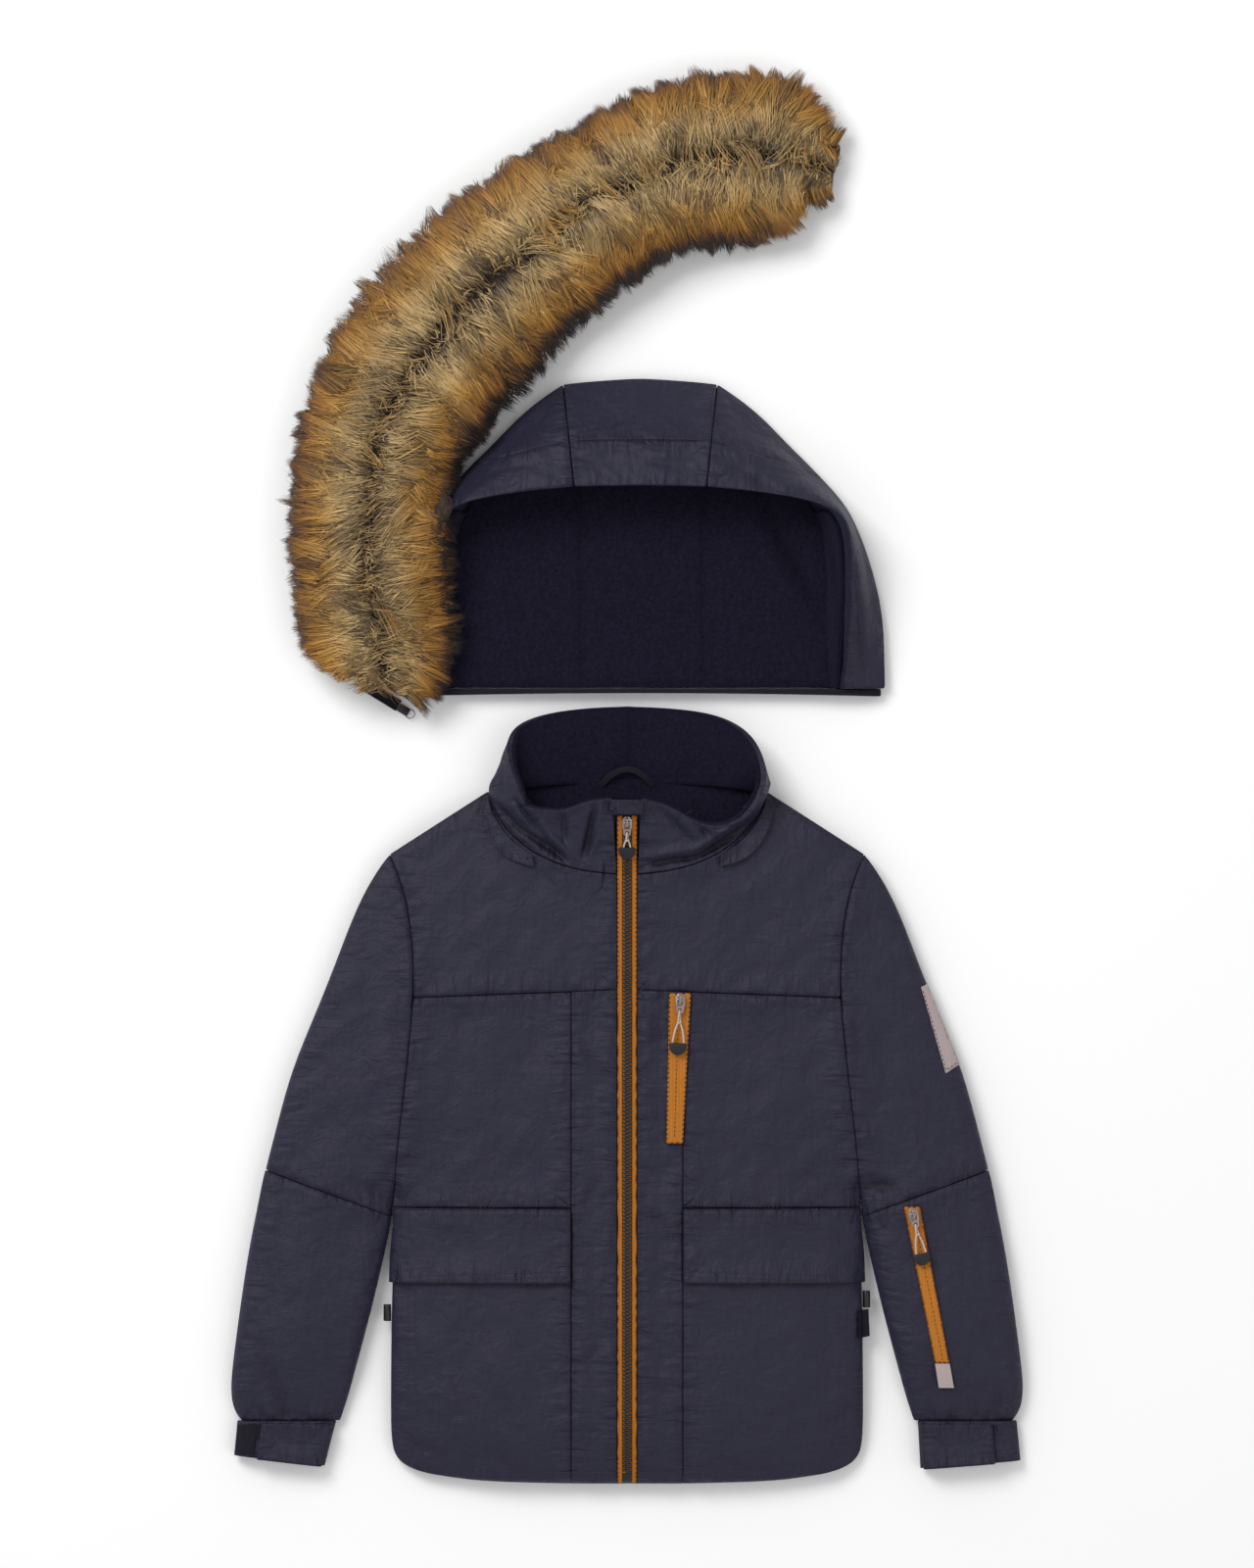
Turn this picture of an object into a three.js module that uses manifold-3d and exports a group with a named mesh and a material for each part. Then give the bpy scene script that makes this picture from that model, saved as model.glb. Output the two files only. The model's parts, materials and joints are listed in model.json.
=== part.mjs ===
// A child's padded winter jacket from a snowsuit, laid flat on its back, with its hood taken off and
// set above the collar, and the hood's fur trim half unzipped and folded away beside it.
// Millimetres, +Z up, +Y from hem to hood, +X to the wearer's left. The origin is on the floor, under
// the middle of the whole layout.
//
// The garment is drawn in its own plan frame: `x` out from the zip and `up` from the hem. The hood has
// one too: `x` out from its middle and `up` from its neck edge.

import * as THREE from 'three';
import { mergeVertices } from 'three/addons/utils/BufferGeometryUtils.js';
import Module from 'manifold-3d';

// ---------- driving dimensions ----------

const HEM_Y = -546.1;              // where the hem lies in the shared frame
const HOOD = { x: 10.3, y: 69.5 }; // where the middle of the hood's neck edge lies
const GAP = 0.3;                   // left open at every seam

const MID = 12;                    // height of the plane where front and back meet
const HEM_MID = 6;                 // the same plane at the hem and the sleeve ends
const EDGE = 1.2;                  // half the thickness of the edge seams
const ROLL = { rise: 11, run: 24 };    // the padding rolls up from an edge seam
const CROWN = { rise: 7, run: 90 };    // and keeps rising slowly to the middle of a panel
const BELLY = 14;                  // run in which the underside curls down to the floor
const HEM_ROLL = { keep: 0.45, run: 30 };
const SEAM_DIP = { depth: 2, width: 5 };
const ZIP_DIP = { depth: 4.6, width: 9 };
const SLIT = { edge: 0.3, middle: 0.9, mouth: 2.4, run: 30 };  // between front and back

const SLEEVE_END = 49;             // height of the sleeve's opening above the hem
const YOKE_LOW = 384;              // yoke seam at the zip
const YOKE_SIDE = 378;             // and at the armhole
const POCKET_TOP = 215;
const FLAP_LOW = 157;
const PANEL_X = 43.3;              // long seam beside the zip
const SHOULDER_TIP = { x: 184, up: 489 };
const NECK_POINT = { x: 107.5, up: 538 };
const BACK_NECK = 543.5;

const ZIP = { tape: 8, chain: 3.3, top: 519, tapeThick: 1.2, chainThick: 2.2 };

function table(columns, lines) {
  return lines.map((line) => Object.fromEntries(columns.map((name, i) => [name, line[i]])));
}

const HEM = table(['x', 'up'], [[0, 0], [105, 2], [150, 7], [168, 12], [176, 17]]);
const SIDE = table(['up', 'x'], [
  [17, 176], [24, 181], [34, 183.5], [120, 183], [180, 181.5], [202, 181.2], [228, 181]]);
const ARMHOLE = table(['up', 'x'], [
  [228, 181], [252, 179], [298, 173.7], [343.5, 168.5], [389, 165.3], [427, 167], [457.5, 172],
  [489, 184]]);
const SLEEVE_OUT = table(['up', 'x'], [
  [489, 184], [463.6, 203], [427, 218.5], [385, 233.5], [322, 260.7], [285, 270.5], [244, 281],
  [177, 295], [110, 304.4], [71, 309], [57, 306.5], [49, 300]]);
const SLEEVE_IN = table(['up', 'x'], [
  [228, 181], [202, 183.2], [177, 188.5], [140, 197], [106, 206], [71, 215.6], [58, 220],
  [49, 223]]);
const SHOULDER = table(['x', 'up'], [[107.5, 538], [130, 527], [152, 514], [184, 489]]);
const NECK_FRONT = table(['x', 'up'], [
  [8.3, 473.5], [25, 475], [42, 478], [57, 483], [72, 490], [87, 501], [98, 514], [105, 527],
  [107.5, 538]]);
const NECK_BACK = table(['x', 'up'], [[98, 541], [80, 542], [55, 543], [28, 543.3], [0, 543.5]]);
const ELBOW = { inner: 208, outer: 244 };

// ---------- curves and heights ----------

const clamp = (t) => Math.min(Math.max(t, 0), 1);
const lerp = (a, b, t) => a + (b - a) * t;
const smooth = (t) => clamp(t) ** 2 * (3 - 2 * clamp(t));
const roll = (t) => Math.sqrt(1 - (1 - clamp(t)) ** 2);
const dip = (distance, width) => Math.exp(-((distance / width) ** 2));
const spread = (from, to, count) => Array.from({ length: count + 1 }, (_, i) => lerp(from, to, i / count));

// Reads column `to` of a table as a smooth function of column `from`, with no overshoot.
function reader(lines, from, to) {
  const rows = [...lines].sort((a, b) => a[from] - b[from]);
  const slope = rows.slice(1).map((r, i) => (r[to] - rows[i][to]) / (r[from] - rows[i][from]));
  const tangent = rows.map((_, i) => {
    const [before, after] = [slope[i - 1] ?? slope[i], slope[i] ?? slope[i - 1]];
    return before * after <= 0 ? 0 : (2 * before * after) / (before + after);
  });
  return (value) => {
    if (value <= rows[0][from]) return rows[0][to];
    const i = rows.findIndex((r) => r[from] >= value);
    if (i < 0) return rows.at(-1)[to];
    const width = rows[i][from] - rows[i - 1][from];
    const t = (value - rows[i - 1][from]) / width;
    const [t2, t3] = [t * t, t * t * t];
    return (2 * t3 - 3 * t2 + 1) * rows[i - 1][to] + (t3 - 2 * t2 + t) * width * tangent[i - 1]
      + (3 * t2 - 2 * t3) * rows[i][to] + (t3 - t2) * width * tangent[i];
  };
}

const hemUp = reader(HEM, 'x', 'up');
const sideX = reader(SIDE, 'up', 'x');
const armholeX = reader(ARMHOLE, 'up', 'x');
const sleeveOutX = reader(SLEEVE_OUT, 'up', 'x');
const sleeveInX = reader(SLEEVE_IN, 'up', 'x');

function segmentDistance(p, a, b) {
  const [dx, dy] = [b.x - a.x, b.up - a.up];
  const t = clamp(((p.x - a.x) * dx + (p.up - a.up) * dy) / (dx * dx + dy * dy));
  return Math.hypot(p.x - a.x - dx * t, p.up - a.up - dy * t);
}

function distance(p, ...lines) {
  let nearest = Infinity;
  for (const line of lines) {
    for (let i = 1; i < line.length; i += 1) {
      nearest = Math.min(nearest, segmentDistance(p, line[i - 1], line[i]));
    }
  }
  return nearest;
}

const YOKE_SEAM = [{ x: 8, up: YOKE_LOW }, { x: armholeX(YOKE_SIDE), up: YOKE_SIDE }];
const LONG_SEAM = [{ x: PANEL_X, up: 0 }, { x: PANEL_X, up: YOKE_LOW }];
const POCKET_SEAM = [{ x: PANEL_X, up: POCKET_TOP }, { x: sideX(POCKET_TOP), up: POCKET_TOP }];
const ELBOW_SEAM = [
  { x: sleeveInX(ELBOW.inner), up: ELBOW.inner }, { x: sleeveOutX(ELBOW.outer), up: ELBOW.outer }];

const onSleeve = (p) => p.x > 184.5 && p.up < 150;
const fromOpening = (p) => Math.max(0, p.up - (onSleeve(p) ? SLEEVE_END : hemUp(p.x)));
const fromEdge = (p) => distance(p, SIDE, SLEEVE_OUT, SLEEVE_IN, SHOULDER);
const half = (p) => ({ x: Math.abs(p.x), up: p.up });

// Soft folds where the cloth buckles: a short ridge or hollow along a line from one end to the other.
const FOLDS = table(['side', 'x', 'up', 'toX', 'toUp', 'depth', 'width'], [
  [1, 190, 300, 236, 262, -2.2, 10],
  [1, 196, 262, 262, 246, 1.8, 9],
  [1, 196, 330, 240, 318, -1.4, 12],
  [1, 208, 190, 276, 206, -1.8, 9],
  [1, 216, 136, 290, 148, 1.6, 9],
  [1, 228, 92, 292, 96, -1.8, 8],
  [-1, 192, 292, 244, 268, -2.2, 10],
  [-1, 200, 246, 258, 252, 1.6, 9],
  [-1, 198, 348, 236, 340, -1.4, 12],
  [-1, 206, 196, 280, 196, -1.8, 9],
  [-1, 220, 140, 288, 128, 1.6, 9],
  [-1, 226, 84, 296, 92, -1.8, 8],
  [1, 60, 340, 150, 352, -1.2, 14],
  [-1, 60, 352, 150, 336, -1.2, 14],
  [1, 70, 440, 150, 452, -1.3, 14],
  [-1, 70, 452, 150, 438, -1.3, 14],
  [1, 66, 110, 150, 96, 1.2, 16],
  [-1, 66, 96, 150, 112, 1.2, 16],
]);

function folds(p) {
  let sum = 0;
  for (const fold of FOLDS) {
    if (fold.side * p.x <= 0) continue;
    const along = [{ x: fold.x, up: fold.up }, { x: fold.toX, up: fold.toUp }];
    sum += fold.depth * dip(distance(half(p), along), fold.width);
  }
  return sum;
}

const middle = (p) => HEM_MID + (MID - HEM_MID) * smooth(fromOpening(half(p)) / 60);

function slit(p) {
  const mouth = SLIT.mouth * (1 - smooth(fromOpening(half(p)) / SLIT.run));
  return SLIT.edge + SLIT.middle * smooth(fromEdge(half(p)) / SLIT.run) + mouth;
}

// Top of the padded front at a point of the plan.
function frontTop(p) {
  const q = half(p);
  const edge = fromEdge(q);
  const hem = HEM_ROLL.keep + (1 - HEM_ROLL.keep) * roll(fromOpening(q) / HEM_ROLL.run);
  const rise = ROLL.rise * roll(edge / ROLL.run) + CROWN.rise * smooth(edge / CROWN.run);
  const seam = distance(q, YOKE_SEAM, LONG_SEAM, POCKET_SEAM, ELBOW_SEAM, ARMHOLE);
  const dips = SEAM_DIP.depth * dip(seam, SEAM_DIP.width) + ZIP_DIP.depth * dip(q.x, ZIP_DIP.width);
  return middle(p) + EDGE + Math.max(0, rise * hem - dips * roll(edge / ROLL.run)
    + folds(p) * smooth(edge / ROLL.run));
}

const frontUnder = (p) => middle(p) + slit(p) / 2;
const backUnder = (p) => (middle(p) - EDGE) * (1 - roll(fromEdge(half(p)) / BELLY));

function backTop(p) {
  const nape = 3.2 * (1 - smooth((BACK_NECK - p.up) / 30)) * (1 - smooth((Math.abs(p.x) - 80) / 25));
  return middle(p) - slit(p) / 2 - nape;
}

// ---------- solids ----------

const jacket = (p, z) => new THREE.Vector3(p.x, HEM_Y + p.up, z);

// Closed solid between two matching grids of points; `ring` joins the last column to the first.
function between(outer, inner, ring = false) {
  const [rows, columns] = [outer.length, outer[0].length];
  const points = [...outer.flat(), ...inner.flat()];
  const at = (layer, r, c) => (layer * rows + r) * columns + (c % columns);
  const faces = [];
  const quad = (a, b, c, d) => faces.push(a, b, c, a, c, d);
  const last = ring ? columns : columns - 1;
  for (let c = 0; c < last; c += 1) {
    for (let r = 0; r < rows - 1; r += 1) {
      quad(at(0, r, c), at(0, r, c + 1), at(0, r + 1, c + 1), at(0, r + 1, c));
      quad(at(1, r, c), at(1, r + 1, c), at(1, r + 1, c + 1), at(1, r, c + 1));
    }
    quad(at(1, 0, c), at(1, 0, c + 1), at(0, 0, c + 1), at(0, 0, c));
    quad(at(0, rows - 1, c), at(0, rows - 1, c + 1), at(1, rows - 1, c + 1), at(1, rows - 1, c));
  }
  for (let r = 0; r < rows - 1 && !ring; r += 1) {
    quad(at(0, r, 0), at(0, r + 1, 0), at(1, r + 1, 0), at(1, r, 0));
    quad(at(1, r, last), at(1, r + 1, last), at(0, r + 1, last), at(0, r, last));
  }
  return facingOut(points, faces);
}

function facingOut(points, faces) {
  let volume = 0;
  for (let i = 0; i < faces.length; i += 3) {
    const [a, b, c] = [points[faces[i]], points[faces[i + 1]], points[faces[i + 2]]];
    volume += a.dot(new THREE.Vector3().crossVectors(b, c));
  }
  const geometry = new THREE.BufferGeometry().setFromPoints(points);
  geometry.setIndex(volume > 0 ? faces : faces.reverse());
  return geometry;
}

const mapGrid = (grid, make) => grid.map((row, r) => row.map((p, c) => make(p, r, c)));

// Plan grid of a panel between four edges that meet at its corners: two run up, two run across.
function patch(left, right, low, high) {
  const share = (line) => {
    const steps = line.map((p, i) => (i ? Math.hypot(p.x - line[i - 1].x, p.up - line[i - 1].up) : 0));
    const total = steps.reduce((sum, step) => sum + step, 0);
    let run = 0;
    return steps.map((step) => { run += step; return run / total; });
  };
  const [leftShare, rightShare, lowShare, highShare] = [left, right, low, high].map(share);
  const [lastRow, lastColumn] = [left.length - 1, low.length - 1];
  return left.map((_, r) => low.map((__, c) => {
    const u = lerp(lowShare[c], highShare[c], r / lastRow);
    const v = lerp(leftShare[r], rightShare[r], c / lastColumn);
    const blend = (key) => lerp(low[c][key], high[c][key], v) + lerp(left[r][key], right[r][key], u)
      - lerp(lerp(low[0][key], low[lastColumn][key], u), lerp(high[0][key], high[lastColumn][key], u), v);
    return { x: blend('x'), up: blend('up') };
  }));
}

// Draws a panel's four edges in by half the gap, so that neighbours on one seam stay apart.
function trimmed(grid, by = GAP / 2) {
  const [rows, columns] = [grid.length - 1, grid[0].length - 1];
  const inward = (a, b, inside, p) => {
    const length = Math.hypot(b.x - a.x, b.up - a.up);
    const normal = { x: -(b.up - a.up) / length, up: (b.x - a.x) / length };
    const side = Math.sign((inside.x - p.x) * normal.x + (inside.up - p.up) * normal.up);
    return { x: normal.x * side * by, up: normal.up * side * by };
  };
  return mapGrid(grid, (p, r, c) => {
    const moved = { ...p };
    const move = (step) => { moved.x += step.x; moved.up += step.up; };
    const [under, over] = [grid[Math.max(r - 1, 0)][c], grid[Math.min(r + 1, rows)][c]];
    const [before, after] = [grid[r][Math.max(c - 1, 0)], grid[r][Math.min(c + 1, columns)]];
    if (c === 0) move(inward(under, over, grid[r][1], p));
    if (c === columns) move(inward(under, over, grid[r][columns - 1], p));
    if (r === 0) move(inward(before, after, grid[1][c], p));
    if (r === rows) move(inward(before, after, grid[rows - 1][c], p));
    return moved;
  });
}

const slab = (grid, under, over) =>
  between(mapGrid(grid, (p) => jacket(p, over(p))), mapGrid(grid, (p) => jacket(p, under(p))));
const mirrored = (grid) => mapGrid(grid, (p) => ({ x: -p.x, up: p.up }));
const sided = (grid, side) => (side > 0 ? grid : mirrored(grid));

// A piece that lies on the front: `lift` above it, `thick` through.
const onFront = (grid, lift, thick, top = frontTop) =>
  slab(grid, (p) => top(p) + lift, (p) => top(p) + lift + thick);

// Points moved along their surface's own normals, for walls that stand or lean.
function offset(grid, by, ring = false) {
  const [rows, columns] = [grid.length, grid[0].length];
  const normal = (r, c) => {
    const [before, after] = ring
      ? [(c + columns - 1) % columns, (c + 1) % columns]
      : [Math.max(c - 1, 0), Math.min(c + 1, columns - 1)];
    const across = grid[r][after].clone().sub(grid[r][before]);
    const along = grid[Math.min(r + 1, rows - 1)][c].clone().sub(grid[Math.max(r - 1, 0)][c]);
    return across.cross(along).normalize();
  };
  return mapGrid(grid, (p, r, c) => p.clone().addScaledVector(normal(r, c), by));
}

// ---------- the object and its materials ----------

const garment = new THREE.Group();
const CLOTHS = {
  shell: { color: 0x34323f, roughness: 0.7 },
  fleece: { color: 0x2c2739, roughness: 0.95 },
  tape: { color: 0xb9742f, roughness: 0.75 },
  binding: { color: 0x1d1b22, roughness: 0.8 },
  label: { color: 0xb5a5a5, roughness: 0.8 },
  fur: { color: 0x9a8468, roughness: 0.95 },
  metal: { color: 0xc9b3a8, roughness: 0.3, metalness: 0.9 },
  teeth: { color: 0x23222c, roughness: 0.4 },
  cord: { color: 0xcbb3a4, roughness: 0.85 },
  rubber: { color: 0x2b2f45, roughness: 0.6 },
};

function add(name, geometry, cloth, parent = garment) {
  const mesh = new THREE.Mesh(geometry, new THREE.MeshStandardMaterial(CLOTHS[cloth]));
  mesh.name = name;
  parent.add(mesh);
  return mesh;
}

// Adds a piece to both sides of the jacket: R is +x, L is -x.
function both(name, make, cloth) {
  for (const [tag, side] of [['L', -1], ['R', 1]]) add(`${name}_${tag}`, make(side), cloth);
}

const upright = (x, ups) => ups.map((up) => ({ x, up }));
const straight = (a, b, shares) =>
  shares.map((t) => ({ x: lerp(a.x, b.x, t), up: lerp(a.up, b.up, t) }));
const alongHem = (xs) => xs.map((x) => ({ x, up: hemUp(x) }));

// ---------- back ----------

const NAPE_DROP = 3;   // the back stops this far short of the collar's foot
const ARM_ROWS = [228, 236, 250, 270, 300, 335, 378, 400, 425, 450, 470, 482, 489];
const armholePoints = (rows) => rows.map((up) => ({ x: armholeX(up), up }));

function backPanel() {
  const sideRows = [17, 24, 34, 70, 130, 180, 215];
  const right = [
    ...sideRows.map((up) => ({ x: sideX(up), up })), ...armholePoints(ARM_ROWS)];
  const shoulder = straight(SHOULDER_TIP, NECK_POINT, [0, 0.15, 0.5]);
  const nape = NECK_BACK.map((p) => ({ x: p.x, up: p.up - NAPE_DROP }));
  const topRight = [...shoulder, NECK_POINT, ...nape];
  const hemRight = [176, 170, 160, 140, 120, 95, 70, 35, 0].map((x) => ({ x, up: hemUp(x) }));
  const across = (line) => [
    ...line.slice(0, -1).map((p) => ({ x: -p.x, up: p.up })), ...[...line].reverse()];
  const left = right.map((p) => ({ x: -p.x, up: p.up }));
  return slab(trimmed(patch(left, right, across(hemRight), across(topRight))), backUnder, backTop);
}
add('back', backPanel(), 'shell');

// ---------- front panels ----------

// Beside the zip the panels step down to a seat that the zip lies on.
const STEP_X = 8.2;
const yokeUp = (x) => lerp(YOKE_LOW, YOKE_SIDE, Math.max(0, x - 8) / (armholeX(YOKE_SIDE) - 8));
const alongYoke = (xs) => xs.map((x) => ({ x, up: yokeUp(x) }));
const tapeTop = (up) => frontTop({ x: STEP_X, up }) - 1.4;
const seatTop = (p) => (Math.abs(p.x) < STEP_X - 0.2
  ? tapeTop(p.up) - ZIP.tapeThick - GAP : frontTop(p));
const ZIP_COLUMNS = [0.2, STEP_X - 0.3, STEP_X];

const CENTRE_ROWS = [0, 3, 9, 20, 45, 80, 120, 157, 190, 215, 250, 285, 320, 350, 374, YOKE_LOW];

function frontCentre(side) {
  const rows = CENTRE_ROWS;
  const xs = [...ZIP_COLUMNS, 14, 23, 34, PANEL_X];
  const right = rows.map((up) => ({ x: PANEL_X, up: (up * yokeUp(PANEL_X)) / YOKE_LOW }));
  const plan = patch(upright(xs[0], rows), right, alongHem(xs), alongYoke(xs));
  return slab(sided(trimmed(plan), side), frontUnder, seatTop);
}
both('front_centre', frontCentre, 'shell');

function frontSide(side) {
  const rows = [POCKET_TOP, ...ARM_ROWS.slice(0, 7)];
  const right = [{ x: sideX(POCKET_TOP), up: POCKET_TOP }, ...armholePoints(ARM_ROWS.slice(0, 7))];
  const shares = [0, 0.05, 0.2, 0.4, 0.6, 0.8, 0.92, 1];
  const low = straight({ x: PANEL_X, up: POCKET_TOP }, right[0], shares);
  const high = straight({ x: PANEL_X, up: yokeUp(PANEL_X) }, right.at(-1), shares);
  const rise = (up) => (up - POCKET_TOP) / (YOKE_SIDE - POCKET_TOP);
  const leftRows = rows.map((up) => lerp(POCKET_TOP, yokeUp(PANEL_X), rise(up)));
  return slab(sided(trimmed(patch(upright(PANEL_X, leftRows), right, low, high)), side),
    frontUnder, frontTop);
}
both('front_side', frontSide, 'shell');

function frontYoke(side) {
  const neck = [...NECK_FRONT].reverse();
  const right = armholePoints(ARM_ROWS.slice(6));
  const shoulder = straight(SHOULDER_TIP, NECK_POINT, [0, 0.12, 0.4, 0.7]);
  const top = [...shoulder, ...neck].reverse();
  const seat = [
    { x: ZIP_COLUMNS[0], up: NECK_FRONT[0].up - 0.1 }, { x: ZIP_COLUMNS[1], up: NECK_FRONT[0].up }];
  const high = [...seat, ...top];
  const inner = [14, 24, 34, 46, 58, 70, 82, 94, 108, 125, 142, 157];
  const xs = [...ZIP_COLUMNS, ...inner.slice(0, high.length - 4)];
  const low = [...alongYoke(xs), right[0]];
  const left = upright(ZIP_COLUMNS[0], spread(YOKE_LOW, high[0].up, right.length - 1));
  return slab(sided(trimmed(patch(left, right, low, high)), side), frontUnder, seatTop);
}
both('front_yoke', frontYoke, 'shell');

// ---------- pockets ----------

const POCKET_SHARES = [0, 0.04, 0.12, 0.26, 0.42, 0.58, 0.74, 0.88, 0.96, 1];

function pocket(side) {
  const rows = [17, 21, 28, 45, 70, 100, 130, FLAP_LOW, 180, POCKET_TOP];
  const right = rows.map((up) => ({ x: sideX(up), up }));
  const xs = POCKET_SHARES.map((t) => lerp(PANEL_X, right[0].x, t));
  const left = upright(PANEL_X, [0, 4, 12, 32, 62, 95, 128, FLAP_LOW, 180, POCKET_TOP]);
  const high = straight({ x: PANEL_X, up: POCKET_TOP }, right.at(-1), POCKET_SHARES);
  return slab(sided(trimmed(patch(left, right, alongHem(xs), high)), side), frontUnder, frontTop);
}
both('pocket', pocket, 'shell');

// The flap hangs from the pocket seam and wraps a little past the side.
const FLAP = { thick: 3, lift: 1.1, high: POCKET_TOP - 1.5, wrap: 2.4, fall: 1.2 };

function pocketFlap(side) {
  const rows = [FLAP_LOW, FLAP_LOW + 6, 180, 200, FLAP.high];
  const plan = rows.map((up) => {
    const onPocket = POCKET_SHARES.filter((t) => t !== 0.04).map((t) => (
      { x: lerp(PANEL_X + 0.6, sideX(up) - 0.2, t), up }));
    return [...onPocket, { x: sideX(up) + 0.4 + FLAP.wrap * smooth((200 - up) / 20), up }];
  });
  const base = (p) => {
    const past = Math.max(0, Math.abs(p.x) - sideX(p.up));
    const onCloth = Math.sign(p.x) * Math.min(Math.abs(p.x), sideX(p.up));
    return frontTop({ x: onCloth, up: p.up }) + FLAP.lift - FLAP.fall * past;
  };
  const lip = (p) => 0.7 * dip(p.up - FLAP_LOW, 8);
  return slab(sided(plan, side), base, (p) => base(p) + FLAP.thick + lip(p));
}
both('pocket_flap', pocketFlap, 'shell');

// ---------- sleeves ----------

// A flat padded tube: each row goes out over the top and back under the bottom.
const TUBE_WALL = 8;

function sleeveTube(plan, wall = TUBE_WALL, under = backUnder, top = frontTop) {
  const outer = plan.map((row) => [
    ...row.map((p) => jacket(p, top(p))), ...[...row].reverse().map((p) => jacket(p, under(p)))]);
  const drawn = plan.map((row) => row.map((p) => {
    const [a, b] = [row[0], row.at(-1)];
    const length = Math.hypot(b.x - a.x, b.up - a.up);
    const t = ((p.x - a.x) * (b.x - a.x) + (p.up - a.up) * (b.up - a.up)) / length ** 2;
    const move = lerp(wall, -wall, clamp(t));
    return { x: p.x + (move * (b.x - a.x)) / length, up: p.up + (move * (b.up - a.up)) / length };
  }));
  const inner = drawn.map((row) => [
    ...row.map((p) => jacket(p, middle(p) + slit(p) / 2)),
    ...[...row].reverse().map((p) => jacket(p, middle(p) - slit(p) / 2))]);
  return between(outer, inner, true);
}

function sleeveUpper(side) {
  const armhole = armholePoints(ARM_ROWS);
  const [a, b] = [armhole[0], armhole.at(-1)];
  const shares = armhole.map((p) => (p.up - a.up) / (b.up - a.up));
  const bow = armhole.map((p, i) => p.x - lerp(a.x, b.x, shares[i]));
  const innerUps = [228, 225, 222, 219, 216, 213, 210, ELBOW.inner];
  const outerUps = [489, 470, 440, 402, 362, 322, 280, ELBOW.outer];
  const plan = innerUps.map((innerUp, r) => {
    const v = r / (innerUps.length - 1);
    const from = { x: sleeveInX(innerUp), up: innerUp };
    const to = { x: sleeveOutX(outerUps[r]), up: outerUps[r] };
    return shares.map((t, c) => ({
      x: lerp(from.x, to.x, t) + (1 - v) ** 1.5 * bow[c], up: lerp(from.up, to.up, t) }));
  });
  return sleeveTube(sided(trimmed(plan), side));
}
both('sleeve_upper', sleeveUpper, 'shell');

const CUFF_SHARES = [0, 0.05, 0.14, 0.32, 0.5, 0.68, 0.86, 0.95, 1];

function sleeveLower(side) {
  const innerUps = [ELBOW.inner, 192, 165, 134, 104, 76, 58, SLEEVE_END];
  const outerUps = [ELBOW.outer, 220, 186, 148, 112, 78, 58, SLEEVE_END];
  const plan = innerUps.map((innerUp, r) => straight(
    { x: sleeveInX(innerUp), up: innerUp }, { x: sleeveOutX(outerUps[r]), up: outerUps[r] },
    CUFF_SHARES));
  return sleeveTube(sided(trimmed(plan), side));
}
both('sleeve_lower', sleeveLower, 'shell');

// ---------- cuffs ----------

const CUFFS = {
  1: { in: { x: 228, up: 12 }, out: { x: 306, up: 18 } },
  '-1': { in: { x: 235, up: 14 }, out: { x: 305.5, up: 22 } },
};
const CUFF_TOP = { in: { x: 226, up: SLEEVE_END - 0.3 }, out: { x: 303, up: SLEEVE_END - 0.3 } };
const CUFF_MID = 7;

function cuffPlan(side) {
  const end = CUFFS[side];
  return spread(0, 1, 3).map((v) => straight(
    { x: lerp(CUFF_TOP.in.x, end.in.x, v), up: lerp(CUFF_TOP.in.up, end.in.up, v) },
    { x: lerp(CUFF_TOP.out.x, end.out.x, v), up: lerp(CUFF_TOP.out.up, end.out.up, v) },
    CUFF_SHARES));
}

function cuffEdge(p, side) {
  const plan = cuffPlan(side);
  return distance(half(p), plan.map((row) => row[0]), plan.map((row) => row.at(-1)));
}

const cuffTop = (side) => (p) => CUFF_MID + EDGE + 6.5 * roll(cuffEdge(p, side) / 14);
const cuffUnder = (side) => (p) => (CUFF_MID - EDGE) * (1 - roll(cuffEdge(p, side) / 12));

function cuff(side) {
  const plan = sided(cuffPlan(side), side);
  const outer = plan.map((row) => [
    ...row.map((p) => jacket(p, cuffTop(side)(p))),
    ...[...row].reverse().map((p) => jacket(p, cuffUnder(side)(p)))]);
  const drawn = plan.map((row) => row.map((p, c) => ({
    x: p.x + side * lerp(4, -4, CUFF_SHARES[c]), up: p.up })));
  const inner = drawn.map((row) => [
    ...row.map((p) => jacket(p, CUFF_MID + 1.4)),
    ...[...row].reverse().map((p) => jacket(p, CUFF_MID - 1.4))]);
  return between(outer, inner, true);
}
both('cuff', cuff, 'shell');

// A strap tab closes each cuff; beside the left one a patch of loop tape shows.
const CUFF_TAB = { from: 0.03, to: 0.74, rows: [0.06, 0.3, 0.55, 0.8, 1.02] };
const CUFF_PATCH = { from: 0.79, to: 0.985, rows: [0.1, 0.5, 0.9] };

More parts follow.
